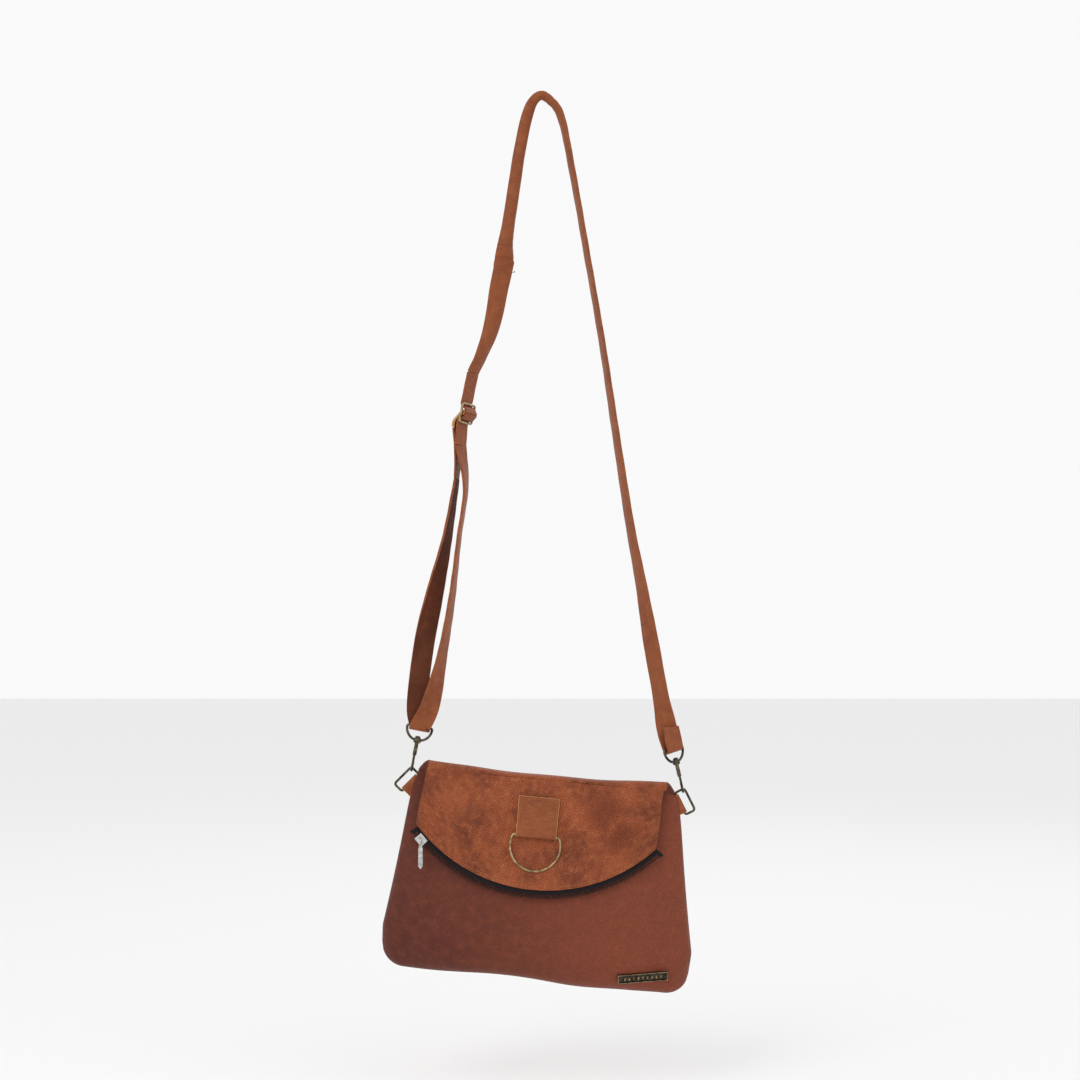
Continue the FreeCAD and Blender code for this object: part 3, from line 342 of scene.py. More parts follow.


# %% [markdown]
# ## Leather
# Two hides are used.  The flap and the back are pebbled: soft rounded grains about a millimetre and a half
# across, with fine creases between them, dyed cognac over a darker ground.  The front is the same hide with
# its smooth side out, its colours darker, partly its own tone and partly painted shade.  Both are warmer
# where they are handled and darker between their grains.  The flap has ovals of painted shade in its
# hollows, and the front is painted darker towards its left and lighter towards its right, as painted shade
# and light.

# %% Leather finishes
def leather(name, dark, mid, light, pebble_mm, pebble_depth, roughness, patch_mm=45.0, shade=None,
            painted_shade_hollows=()):
    graph = Graph(name)
    place = graph.uv()
    wobble = graph.noise(place, 50.0, 3.0)
    warped = graph.node("ShaderNodeMix", {"data_type": "VECTOR"})
    graph.feed(warped.node.inputs[0], 0.0012)
    graph.feed(warped.node.inputs[4], place)
    fine = graph.node("ShaderNodeTexNoise", None, Vector=place, Scale=320.0, Detail=2.0)
    graph.feed(warped.node.inputs[5], fine.out("Color"))
    warped = warped.out(1)
    grain = graph.cells(warped, 1000 / pebble_mm).between(0.0, 0.32)
    pores = graph.noise(place, 2600.0, 2.0)
    creases = graph.noise(place, 260.0, 5.0, 0.65)
    patches = graph.noise(place, 1000 / patch_mm, 4.0, 0.6)
    cloud = graph.noise(place, 1000 / 9.0, 5.0, 0.6)
    body = graph.blend(patches.between(0.30, 0.66), dark, mid)
    body = graph.blend(cloud.between(0.42, 0.72) * 0.55, body, light)
    # Painted shade and light: along the sheet's UV X the colour runs from darker at its left to lighter at
    # its right, between the two values of shade.
    if shade:
        along = graph.node("ShaderNodeSeparateXYZ", None, place).out("X")
        darker, lighter = graph.blend(0.45, body, dark), graph.blend(0.6, body, light)
        body = graph.blend(along.between(*shade), darker, lighter)
    # Painted shade: dark ovals at given places on the sheet, where the flap is dented.
    if painted_shade_hollows:
        flat = graph.node("ShaderNodeSeparateXYZ", None, place)
        for x, y, wide, tall in painted_shade_hollows:
            across = (flat.out("X") - x) * (1 / wide)
            up = (flat.out("Y") - y) * (1 / tall)
            outside = (across * across + up * up + patches * 0.8).between(0.3, 1.9)
            body = graph.blend((1 - outside) * 0.75, body, dark)
    hollow = (1 - grain) * 0.55
    body = graph.blend(hollow, body, tuple(0.55 * c for c in dark))
    height = grain * 0.75 + creases * 0.45 + pores * 0.12
    lumps = graph.bump(wobble, 0.5)
    normal = graph.bump(height, pebble_depth, lumps)
    gloss = roughness + (1 - grain) * 0.16 + creases * 0.10 - 0.05
    return graph.finish(Base_Color=body, Roughness=gloss, Normal=normal, Specular_IOR_Level=0.14)


def cut_edge(name, dark, light):
    """Raw cut edge: pale fibres with darker burnish."""
    graph = Graph(name)
    place = graph.space()
    fibres = graph.noise(place, 900.0, 4.0, 0.7)
    burnish = graph.noise(place, 60.0, 3.0)
    colour = graph.blend(fibres.between(0.35, 0.65), dark, light)
    colour = graph.blend(burnish.between(0.5, 0.75) * 0.5, colour, dark)
    return graph.finish(Base_Color=colour, Roughness=0.72, Normal=graph.bump(fibres, 0.15))


# The pebbled hide carries two ovals of painted shade on the right of the flap, at its dents.
pebbled = leather("pebbled_leather", (0.21, 0.053, 0.024), (0.47, 0.120, 0.046), (0.58, 0.185, 0.070),
                  2.2, 0.75, 0.42, painted_shade_hollows=((0.231, 0.248, 0.030, 0.022), (0.2535, 0.284, 0.017, 0.022)))
# The smooth front: darker than the pebbled hide, partly its own tone and partly painted shade, and painted
# darker towards its left and lighter towards its right by shade.
smooth_hide = leather("smooth_leather", (0.100, 0.027, 0.019), (0.190, 0.046, 0.023), (0.330, 0.082, 0.038),
                      0.9, 0.05, 0.42, 140.0, shade=(-0.02, 0.26))
strap_hide = leather("strap_leather", (0.24, 0.066, 0.026), (0.33, 0.098, 0.036), (0.42, 0.140, 0.052),
                     0.8, 0.06, 0.40)
# The strap's inner side: darker, partly the leather's own flesh side and partly painted shade inside the
# left loop.
flesh_side_and_shade = leather("strap_inner_leather", (0.10, 0.028, 0.014), (0.17, 0.048, 0.022), (0.23, 0.070, 0.032),
                     0.6, 0.06, 0.62)
pale_edge = cut_edge("cut_edge", (0.34, 0.12, 0.04), (0.66, 0.36, 0.14))
dark_edge = cut_edge("dyed_edge", (0.14, 0.04, 0.016), (0.26, 0.09, 0.035))
print(len(bpy.data.materials), "materials so far")

# %% [markdown]
# ## The pouch in figures
# A soft bag is two panels sewn together round the sides and the foot.  Its outline spreads quickly at the
# shoulders and slowly after them; its depth grows to a low belly and closes at the bottom seam.  The lower
# corners are round, and the seam between them hangs in a slack wave.

# %% Outline and belly
HEIGHT = 205.5
CORNER = 21.0
TOP_HALF, SHOULDER, WIDEST, WIDEST_DROP = 116.0, 13.0, 150.0, 165.0
FRONT_DEPTH, BACK_DEPTH = 27.0, 22.0
LEAN_RIGHT = 5.0


def middle_at(drop):
    return LEAN_RIGHT * np.minimum(drop / WIDEST_DROP, 1)


def half_at(drop):
    grown = (WIDEST - TOP_HALF - SHOULDER) * np.minimum(drop / WIDEST_DROP, 1) ** 1.35
    return TOP_HALF + SHOULDER * (1 - np.exp(-drop / SHOULDER)) + grown - 1.2 * ease(drop, 165, 190)


def foot_at(u):
    """How far down the seam lies at u, from -1 at the left side to 1 at the right."""
    x = u * WIDEST
    corner = np.clip((np.abs(x) - (WIDEST - CORNER)) / CORNER, 0, 1)
    wave = 1.7 * np.tanh((x - 25) / 25) + 0.9 * np.sin(x / 21) - 1.5 * ease(x, 95, 135)
    return HEIGHT + wave - CORNER * (1 - np.sqrt(1 - corner * corner))


def belly(depth, u, t, drop):
    """Depth of a panel at u across and t down, from 0 at the mouth to 1 at the seam."""
    full = 6 + (depth - 6) * np.sin(np.minimum(drop / 156, 1) * math.pi / 2) ** 1.5
    closing = np.sqrt(np.clip(1 - np.clip((t - 0.76) / 0.24, 0, 1) ** 2.6, 0, 1))
    lens = np.clip(1 - np.abs(u) ** 3.2, 0, 1) ** 0.45
    return full * closing * lens


def spread(a):
    """Even steps a from 0 to 1 gathered towards both sides, where the panel turns."""
    turned = -np.cos(a * math.pi)
    return np.sign(turned) * np.abs(turned) ** 0.7


def share_across(a):
    return (spread(a) + 1) / 2


def dimple(x, z, at_x, at_z, wide, tall, turn=0.0):
    """A soft oval hill of height 1."""
    c, s = math.cos(math.radians(turn)), math.sin(math.radians(turn))
    across = (x - at_x) * c + (z - at_z) * s
    along = -(x - at_x) * s + (z - at_z) * c
    return np.exp(-((across / wide) ** 2) - (along / tall) ** 2)


def slack(x, z):
    """Slow, shallow swells of unstuffed leather, in millimetres."""
    return (
        0.9 * np.sin(x / 31 + 0.6) * np.sin(z / 27 + 0.4)
        + 0.6 * np.sin(x / 17 - z / 23 + 1.7)
        + 0.35 * np.sin(x / 9.5 + z / 13 + 0.3)
    )


def front_relief(x, drop):
    """Creases and hollows of the front, outwards in millimetres."""
    z = -drop
    relief = 0.55 * slack(x, z)
    relief += -2.6 * dimple(x, z, -118, -180, 9, 34, -28) + 1.6 * dimple(x, z, -98, -176, 12, 34, -30)
    relief += -1.6 * dimple(x, z, 128, -150, 8, 42, 10) + 1.2 * dimple(x, z, -60, -135, 40, 26, 12)
    relief += -1.3 * dimple(x, z, 20, -150, 60, 16, -6) + 1.1 * dimple(x, z, 60, -172, 46, 15, 4)
    relief += -1.5 * dimple(x, z, -25, -192, 50, 7, -3) + 1.0 * dimple(x, z, 95, -110, 20, 50, 8)
    return relief


def back_relief(x, drop):
    z = -drop
    relief = 0.7 * slack(-x + 40, z + 60)
    relief += -2.0 * dimple(x, z, 70, -165, 40, 12, 20) + 1.5 * dimple(x, z, -50, -120, 34, 50, 14)
    relief += -1.8 * dimple(x, z, -105, -150, 12, 40, 18) - 1.2 * dimple(x, z, 0, -60, 70, 12, 3)
    return relief


# %% [markdown]
# ## The back, the fold and the flap in one hide
# On the real bag the pebbled back runs up, over the fold and down the front, so one path lays it here too:
# up the back, round the fold and down to the flap's round edge.  The fold line sags between its ends.
# The flap is soft, so it has hollows, a long crease on its right and a swell each side of the front tab.

# %% The path of the back sheet
FOLD_RADIUS = 9.0
FOLD_SAG = 5.2
FLAP_ARC, FLAP_CENTRE_X, FLAP_CENTRE_Z = 158.2, -4.5, 52.1
BACK_END, FOLD_END = 0.56, 0.665
BACK_TOP = 10.0


def flap_sides(depth):
    """Left and right edge of the flap at a depth below its hinge."""
    left = -116.5 - 5.0 * ease(depth, -12, 55)
    right = 115.0 - 3.6 * ease(depth, -10, 12) + 0.9 * np.sin(depth / 13)
    return left, right


def flap_depth(x):
    """The flap's round lower edge, below its hinge."""
    return np.sqrt(FLAP_ARC**2 - (x - FLAP_CENTRE_X) ** 2) - FLAP_CENTRE_Z


def flap_relief(x, depth):
    """Swells and creases of the flap, outwards in millimetres, fading towards its sewn edge."""
    z = -depth
    relief = 1.3 * slack(x + 15, z * 1.3)
    relief += -5.2 * dimple(x, z, 62, -26, 15, 24, 25) + 3.4 * dimple(x, z, 34, -44, 10, 34, 12)
    relief += -3.6 * dimple(x, z, 78, -56, 12, 19, 35) + 3.2 * dimple(x, z, 98, -34, 9, 40, -10)
    relief += -1.8 * dimple(x, z, -38, -26, 18, 24, -14) + 2.0 * dimple(x, z, -68, -30, 18, 30, 8)
    relief += -1.6 * dimple(x, z, 44, -74, 6, 22, 4) + 1.4 * dimple(x, z, 56, -78, 7, 18, 8)
    relief += -1.3 * dimple(x, z, -96, -24, 10, 28, 16) + 1.0 * dimple(x, z, -20, -80, 30, 12, 4)
    relief += -1.1 * dimple(x, z, -5, -8, 60, 6) + 0.8 * dimple(x, z, -5, -20, 40, 6)
    tab = 1 - ease(27 - np.abs(x + 5.8), 0, 9) * ease(depth, 6, 12) * ease(62 - depth, 0, 8)
    edge = ease(flap_depth(x) - depth, 0, 16)
    side = ease(118 - np.abs(x + 2), 0, 12)
    return relief * tab * edge * (0.35 + 0.65 * side)


def flap_to_bag(x, y, z):
    """Points of the leaning flap, drawn flat about its hinge, in the bag's frame."""
    c, s = math.cos(FLAP_LEAN), math.sin(FLAP_LEAN)
    return x, HINGE_Y + y * c + z * s, HINGE_Z - y * s + z * c


def fold_sag(x, angle):
    """The fold sinks between its ends, most at its crown."""
    return FOLD_SAG * (1 - np.clip(x / 116, -1, 1) ** 2) * np.sin(np.clip(angle, 0, math.pi)) ** 2


def back_sheet(a, t):
    u = spread(a)
    up = np.clip(t / BACK_END, 0, 1)
    down = 1 - up
    drop = BACK_TOP + (foot_at(u) - BACK_TOP) * down
    x_back = middle_at(drop) + u * half_at(drop)
    fading = ease(down, 0, 0.2) * ease(1 - down, 0, 0.12) * ease(1 - np.abs(u), 0, 0.08)
    y_back = belly(BACK_DEPTH, u, down, drop) + back_relief(x_back, drop) * fading
    flat = ease(52 - drop, 0, 42)
    y_back = mix(y_back, HINGE_Y + FOLD_RADIUS + 0.6 * slack(x_back, 0), flat)
    angle = np.clip((t - BACK_END) / (FOLD_END - BACK_END), 0, 1) * (math.pi - FLAP_LEAN)
    fold_half = mix(half_at(BACK_TOP), TOP_HALF, ease(angle, 0, math.pi / 2))
    radius = FOLD_RADIUS + 0.5 * np.sin(u * 9 + 1) * np.sin(angle)
    x_fold = u * fold_half
    y_fold = HINGE_Y + radius * np.cos(angle)
    z_fold = HINGE_Z + radius * np.sin(angle) - fold_sag(x_fold, angle)
    w = np.clip((t - FOLD_END) / (1 - FOLD_END), 0, 1)
    left, right = flap_sides(w * 55)
    x_flap = mix(left, right, (u + 1) / 2)
    depth = w * flap_depth(x_flap)
    y_out = -FOLD_RADIUS - flap_relief(x_flap, depth) * ease(w, 0, 0.12)
    x_flap, y_flap, z_flap = flap_to_bag(x_flap, y_out, -depth)
    on_back, on_fold = t < BACK_END, t < FOLD_END
    x = np.where(on_back, x_back, np.where(on_fold, x_fold, x_flap))
    y = np.where(on_back, y_back, np.where(on_fold, y_fold, y_flap))
    z = np.where(on_back, -drop, np.where(on_fold, z_fold, z_flap))
    return x, y, z


# %% A hide in three lengths
# The pouch and the flap are stiff beside the fold between them, so a hide is laid in three lengths that meet
# edge to edge: one rides on the bag, one on the flap, and the length over the fold stays where it is laid.
def hide(name, lay, bends, rows, size_mm, thickness, edge_mm, fold_line, materials, nodes):
    start, end = (tuple(bag_frame @ (Vector(point) * MM)) for point in fold_line)
    spans = ((0, bends[0]), bends, (bends[1], 1))
    for part, span, count, node in zip(("pouch", "fold", "flap"), spans, rows, nodes):
        piece = sheet(f"{name}_{part}", 150, count, lay, size_mm, bag_frame, share_across, span)
        dress(piece, *materials)
        thicken(piece, thickness, edge_mm if part == "flap" else 0, rim=int(part == "flap"))
        smooth(piece, 60)
        if part == "fold":
            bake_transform(piece)
            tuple(start)
            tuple(end)
        else:
            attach(piece, "bag" if part == "pouch" else "flap")
        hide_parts(node)
        print(piece.name, len(piece.data.polygons), "faces")


FOLD_LINE = ((0, HINGE_Y + FOLD_RADIUS, HINGE_Z), (0, HINGE_Y - FOLD_RADIUS * math.cos(FLAP_LEAN), HINGE_Z))
hide("pebbled", back_sheet, (BACK_END, FOLD_END), (130, 24, 80), (300, 330), 2.0, 0.75, FOLD_LINE,
     (pebbled, pale_edge), ("back_panel", "fold_outer", "flap_outer"))

# %% [markdown]
# ## The front and the flap's inner side
# The smooth hide makes the front of the pouch.  It too runs over a fold, a tighter one inside the first, and
# lines the flap from behind.

# %% Lay the front sheet
FRONT_END, BEND_END = 0.60, 0.64
FRONT_TOP = 13.0
BEND_RADIUS, BEND_Y, BEND_Z = 2.6, -6.6, -12.6


def behind_zip(x, y, z):
    """The foremost the front may lie, in the bag's frame, so that the flap's zip hangs free before it."""
    up = -(y - HINGE_Y) * math.sin(FLAP_LEAN) + (z - HINGE_Z) * math.cos(FLAP_LEAN)
    beyond = np.hypot(x - FLAP_CENTRE_X, up - FLAP_CENTRE_Z) - FLAP_ARC
    wall = -3.4 - 26 * ease(beyond, 9, 60)
    return HINGE_Y + wall * math.cos(FLAP_LEAN) + up * math.sin(FLAP_LEAN)


def front_sheet(a, t):
    u = spread(a)
    down = 1 - np.clip(t / FRONT_END, 0, 1)
    drop = FRONT_TOP + (foot_at(u) - FRONT_TOP) * down
    x_front = middle_at(drop) + u * half_at(drop)
    fading = ease(down, 0.1, 0.3) * ease(1 - down, 0, 0.1) * ease(1 - np.abs(u), 0, 0.08)
    y_front = -belly(FRONT_DEPTH, u, down, drop) - front_relief(x_front, drop) * fading
    y_front = mix(y_front, BEND_Y + BEND_RADIUS, ease(46 - drop, 0, 33))
    y_front = np.maximum(y_front, behind_zip(x_front, y_front, -drop))
    angle = np.clip((t - FRONT_END) / (BEND_END - FRONT_END), 0, 1) * (math.pi - FLAP_LEAN)
    bend_half = mix(half_at(FRONT_TOP), TOP_HALF - 1, ease(angle, 0, math.pi / 2))
    y_bend = BEND_Y + BEND_RADIUS * np.cos(angle)
    z_bend = BEND_Z + BEND_RADIUS * np.sin(angle) - fold_sag(u * bend_half, angle)
    w = np.clip((t - BEND_END) / (1 - BEND_END), 0, 1)
    left, right = flap_sides(w * 55)
    x_in = mix(left + 0.6, right - 0.6, (u + 1) / 2)
    depth = 2.5 + w * (flap_depth(x_in) - 3.5)
    swell = 0.3 * flap_relief(x_in, depth) * ease(w, 0.1, 0.3)
    y_in = mix(-BEND_RADIUS - 2.6, -4.2, ease(w, 0, 0.15)) - swell
    x_in, y_in, z_in = flap_to_bag(x_in, y_in, -depth)
    on_front, on_bend = t < FRONT_END, t < BEND_END
    x = np.where(on_front, x_front, np.where(on_bend, u * bend_half, x_in))
    y = np.where(on_front, y_front, np.where(on_bend, y_bend, y_in))
    z = np.where(on_front, -drop, np.where(on_bend, z_bend, z_in))
    return x, y, z


BEND_LINE = ((0, BEND_Y + BEND_RADIUS, BEND_Z), (0, BEND_Y - BEND_RADIUS * math.cos(FLAP_LEAN), BEND_Z))
hide("smooth", front_sheet, (FRONT_END, BEND_END), (130, 16, 80), (300, 320), 1.8, 0.3, BEND_LINE,
     (smooth_hide, dark_edge), ("front_panel", "fold_inner", "flap_inner"))

# %% [markdown]
# ## Lining, side joins and piping
# The two hides meet at a turned seam.  Round the pouch it shows as a thin rolled edge.  Above the shoulders
# the seam opens into a narrow strip that joins the outer and the inner side of the fold and the flap.
# Inside hangs a plain cotton lining.

# %% Cotton, twill, thread
def cloth(name, dark, light, threads_mm, roughness=0.85):
    graph = Graph(name)
    place = graph.space(1.0)
    bands = {"wave_type": "BANDS", "bands_direction": "DIAGONAL"}
    turn = graph.node("ShaderNodeTexWave", bands, Vector=place, Scale=1000 / threads_mm / 3.2,
                      Distortion=0.6, Detail=2.0).out("Fac")
    fuzz = graph.noise(place, 1500.0, 3.0)
    dust = graph.noise(place, 40.0, 4.0)
    colour = graph.blend(turn.between(0.2, 0.8), dark, light)
    colour = graph.blend(dust.between(0.45, 0.8) * 0.35, colour, tuple(0.6 * c for c in dark))
    woven = graph.bump(turn * 0.7 + fuzz * 0.5, 0.12)
    return graph.finish(Base_Color=colour, Roughness=roughness, Normal=woven, Specular_IOR_Level=0.15)


cotton = cloth("lining_cotton", (0.30, 0.22, 0.14), (0.46, 0.36, 0.24), 0.7)
twill = cloth("zip_twill", (0.006, 0.005, 0.006), (0.022, 0.018, 0.020), 0.8)
thread = cloth("waxed_thread", (0.28, 0.085, 0.026), (0.52, 0.20, 0.075), 0.35, 0.55)


# %% Lining
def lining_sheet(sign):
    def lay(a, t):
        u = spread(a)
        drop = 16 + (foot_at(u) - 20) * t
        depth = belly(FRONT_DEPTH if sign < 0 else BACK_DEPTH, u, t, drop + 4) - 3.4
        x = middle_at(drop) + u * (half_at(drop) - 4)
        ripple = 0.5 * np.sin(x / 6 + 2 * np.sin(drop / 30)) + 0.4 * np.sin(drop / 9 + x / 21)
        y = sign * np.maximum(depth - 0.8 + ripple * ease(depth, 1, 5), 0.25)
        top = -1.6 if sign < 0 else 2.6
        return x, mix(y, top + 0 * y, ease(44 - drop, 0, 28)), -drop

    side = "front" if sign < 0 else "back"
    piece = sheet(f"cotton_lining_{side}", 90, 80, lay, (290, 190), bag_frame)
    dress(piece, cotton)
    thicken(piece, 0.5)
    smooth(piece, 60)
    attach(piece, "bag")
    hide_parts(f"lining_{side}")


lining_sheet(-1)
lining_sheet(1)


# %% Strips that close the sides of the fold and the flap
def side_join(side):
    a_edge = 0.0 if side < 0 else 1.0
    shoulder_back = BACK_END * (1 - 48 / 190)
    shoulder_front = FRONT_END * (1 - 46 / 190)

    def lay(a, t):
        out_t = np.interp(t, [0, 0.3, 0.45, 1], [shoulder_back, BACK_END, FOLD_END, 0.996])
        in_t = np.interp(t, [0, 0.3, 0.45, 1], [shoulder_front, FRONT_END, BEND_END, 0.99])
        edge = np.full_like(a, a_edge)
        outer = np.stack(back_sheet(edge, out_t), axis=1)
        inner = np.stack(front_sheet(edge, in_t), axis=1)
        point = mix(outer, inner, a[:, None])
        point[:, 0] += side * (1.1 * np.sin(a * math.pi) - 0.4)
        return point.T

    start, end = (tuple(bag_frame @ (Vector(point) * MM)) for point in FOLD_LINE)
    hand = "left" if side < 0 else "right"
    for part, span, count in (("pouch", (0, 0.3), 45), ("fold", (0.3, 0.45), 24), ("flap", (0.45, 1), 80)):
        piece = sheet(f"side_join_{hand}_{part}", 10, count, lay, (12, 180), bag_frame, span=span)
        dress(piece, smooth_hide, dark_edge)
        thicken(piece, 1.2)
        smooth(piece, 60)
        if part == "fold":
            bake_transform(piece)
            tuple(start)
            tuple(end)
        else:
            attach(piece, "bag" if part == "pouch" else "flap")


side_join(-1)
side_join(1)


# %% A rolled edge: a round cord of leather along any line
def around(path):
    """Two unit directions across a path of (n, 3) points, at each of them."""
    ahead = np.gradient(path, axis=0)
    ahead /= np.linalg.norm(ahead, axis=1)[:, None]
    side = np.cross(ahead, [0, 1, 0])
    side /= np.maximum(np.linalg.norm(side, axis=1)[:, None], 1e-9)
    return side, np.cross(side, ahead)


def tube(name, path, radius, matrix, sides=10):
    """A closed round tube along a path in millimetres."""
    count = len(path)
    side, up = around(path)

    def lay(a, t):
        row = np.clip(np.rint(t * (count - 1)).astype(int), 0, count - 1)
        angle = a * 2 * math.pi
        thin = radius * np.sqrt(np.clip(1 - (2 * t - 1) ** 40, 0.02, 1))
        offset = side[row] * (np.cos(angle) * thin)[:, None] + up[row] * (np.sin(angle) * thin)[:, None]
        return (path[row] + offset).T

    piece = sheet(name, sides, count - 1, lay, (2 * math.pi * radius, count * 2.0), matrix)
    outward(piece)
    smooth(piece, 60)
    return piece


u_foot = np.linspace(-1, 1, 200)
drop_foot = foot_at(u_foot)
foot_line = np.stack([middle_at(drop_foot) + u_foot * half_at(drop_foot), 0 * u_foot, -drop_foot], axis=1)
drops = np.linspace(28, foot_at(np.array([-1.0]))[0], 70)[:-1]
left_line = np.stack([middle_at(drops) - half_at(drops), 0 * drops, -drops], axis=1)
right_line = np.stack([middle_at(drops) + half_at(drops), 0 * drops, -drops], axis=1)
seam_line = np.concatenate([left_line, foot_line, right_line[::-1]])
piping = tube("rolled_side_seam", seam_line, 1.35, bag_frame)
dress(piping, smooth_hide)
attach(piping, "bag")


# %% [markdown]
# ## Stitches
# One stitch is a small round-ended bar of thread, sunk a little into the leather.  It is modelled once and
# repeated along a line at an even pitch.

# %% A row of stitches
def along_line(line, pitch):
    """Even places along a line of points, with the direction at each."""
    steps = np.linalg.norm(np.diff(line, axis=0), axis=1)
    run = np.concatenate([[0], np.cumsum(steps)])
    at = np.arange(pitch / 2, run[-1], pitch)
    places = np.stack([np.interp(at, run, line[:, i]) for i in range(3)], axis=1)
    nearby = np.stack([np.interp(at + 0.2, run, line[:, i]) for i in range(3)], axis=1)
    before = np.stack([np.interp(at - 0.2, run, line[:, i]) for i in range(3)], axis=1)
    ahead = nearby - before
    return places, ahead / np.linalg.norm(ahead, axis=1)[:, None]


def stitches(name, line, body, matrix=bag_frame, pitch=3.4, length=2.5, wide=0.34):
    bpy.ops.object.select_all(action="DESELECT")
    bpy.ops.mesh.primitive_uv_sphere_add(segments=6, ring_count=5, radius=1)
    one = bpy.context.object
    shape = points_of(one) * np.array([wide, wide, length / 2])
    faces = [tuple(p.vertices) for p in one.data.polygons]
    bpy.data.objects.remove(one)
    places, ahead = along_line(np.asarray(line), pitch)
    points, loops = [], []
    for place, way in zip(places, ahead):
        side = np.cross(way, [0.13, 0.97, 0.2])
        side /= np.linalg.norm(side)
        turn = np.stack([side, np.cross(way, side), way])
        loops += [tuple(i + len(points) * len(shape) for i in face) for face in faces]
        points.append(place + shape @ turn)
    mesh = bpy.data.meshes.new(name)
    mesh.from_pydata(placed(matrix, np.concatenate(points)).tolist(), [], loops)
    piece = bpy.data.objects.new(name, mesh)
    bpy.context.scene.collection.objects.link(piece)
    dress(piece, thread)
    outward(piece)
    smooth(piece, 60)
    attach(piece, body)
    print(name, len(places), "stitches")
    return piece


def on_flap(x, depth, out=10.0):
    """A place on the flap's outer face, in the bag's frame."""
    y = -out - flap_relief(x, depth)
    return np.stack(flap_to_bag(x, y, -depth), axis=1)


x_edge = np.linspace(-116.5, 108, 160)
stitches("flap_edge_stitches", on_flap(x_edge, flap_depth(x_edge) - 3.2, 9.95), "flap")

# %% [markdown]
# ## The front tab
# A square of leather is folded round the bar of the big ring and sewn down through itself, round its edge
# and once from corner to corner.

# %% Front tab
def through(points, count=200):
    """A smooth line of count points through a few (Catmull-Rom)."""
    points = np.asarray(points, dtype=float)
    ends = np.concatenate([points[:1], points, points[-1:]])
    found = []
    for p, q, r, s in zip(ends, ends[1:], ends[2:], ends[3:]):
        t = np.linspace(0, 1, 12, endpoint=False)[:, None]
        straight = 2 * q + (r - p) * t
        curved = (2 * p - 5 * q + 4 * r - s) * t**2 + (3 * q - p - 3 * r + s) * t**3
        found.append(0.5 * (straight + curved))
    dense = np.concatenate(found + [points[-1:]])
    run = np.concatenate([[0], np.cumsum(np.linalg.norm(np.diff(dense, axis=0), axis=1))])
    at = np.linspace(0, run[-1], count)
    return np.stack([np.interp(at, run, dense[:, i]) for i in range(dense.shape[1])], axis=1)


def arc(centre, radius, first, last, count):
    angles = np.radians(np.linspace(first, last, count))
    return [(centre[0] + radius * math.cos(a), centre[1] + radius * math.sin(a)) for a in angles]


TAB_X, TAB_HALF = -5.8, 20.0
RING_BAR = (-12.75, -54.6)
tab_line = through(
    [(-12.1, -17), (-12.15, -30), (-12.3, -42), (-13.6, -49)] + arc(RING_BAR, 2.1, 180, 360, 9)
    + [(-11.2, -49), (-10.75, -40), (-10.7, -19.5)], 160)


def strip(name, line, half, matrix, thick, wave=0.0, narrow=0.0):
    """A strip of leather along a line of (y, z), its width along X."""
    def lay(a, t):
        row = np.rint(t * (len(line) - 1)).astype(int)
        x = (2 * a - 1) * (half - narrow * np.sin(t * math.pi))
        return x, line[row, 0] + wave * np.sin(x / 5 + t * 7) * np.sin(a * math.pi), line[row, 1]

    piece = sheet(name, 36, len(line) - 1, lay, (2 * half, len(line)), matrix)
    dress(piece, strap_hide, pale_edge)
    thicken(piece, thick, 0.5, rim=1)
    smooth(piece, 50)
    return piece


tab_frame = flap_frame @ Matrix.Translation(Vector((TAB_X, 0, 0)) * MM)
front_tab = strip("front_tab_leather", tab_line, TAB_HALF, tab_frame, 1.2, 0.12, 0.4)
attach(front_tab, "flap")
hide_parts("front_tab")


def flap_line(points):
    return through([(x, y, z) for x, z, y in points], 120)


FACE = -12.72
inset = TAB_HALF - 2.4
square = [(-inset, -48.5, -14.1), (-inset, -42, FACE - 0.2), (-inset, -19.4, FACE), (inset, -19.4, FACE),
          (inset, -42, FACE - 0.2), (inset, -48.5, -14.1)]
for name, run in (
    ("tab_stitches_left", [square[0], square[1], square[2]]),
    ("tab_stitches_top", [square[2], square[3]]),
    ("tab_stitches_right", [square[3], square[4], square[5]]),
    ("tab_stitches_foot", [(-inset, -46.6, -13.5), (inset, -46.6, -13.5)]),
    ("tab_stitches_diagonal",
     [(-inset + 2, -21.5, FACE), (0, -32.5, FACE - 0.08), (inset - 2, -44.5, FACE - 0.45)]),
):
    stitches(name, flap_line(run), "flap", tab_frame, pitch=2.9, length=2.1, wide=0.28)

# %% [markdown]
# ## Side tabs
# Each side tab is a strip folded round the bar of its ring; both ends go into the side seam.

# %% Side tabs
bag_y = Vector(bag_frame.col[1][:3])
for side in ("left", "right"):
    ring = frame_from(axis(f"{side}_ring_turn"), bag_y, pivot(f"{side}_ring_turn"))
    line = through([(-0.85, -17.5), (-1.1, -10), (-1.5, -5)] + arc((0, 0), 2.25, 198, -18, 9)
                   + [(1.5, -5), (1.1, -10), (0.85, -17.5)], 70)
    tab = strip(f"{side}_side_tab_leather", line, 9.9, ring, 1.35, 0.1, 0.3)
    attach(tab, "bag")
    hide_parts(f"{side}_side_tab")
    row = np.array([(x, -2.0, -7.0) for x in np.linspace(-8.4, 8.4, 30)])
    stitches(f"{side}_tab_stitches", row, "bag", ring, pitch=2.8, length=2.0, wide=0.28)

# %% [markdown]
# ## The strap
# The strap is one long band of soft leather, twenty millimetres wide, turned in at its edges and pressed.
# It hangs twisted: flat on the left below the join, rolled into a tube where it goes over its peg, edge-on
# down the right, and flat again near the hooks.  Each row below gives a place, how far the width is turned
# from X towards Y, and how far the band is rolled, in degrees of arc.

# %% Strap bands
STRAP_HALF, STRAP_THICK = 10.0, 2.4


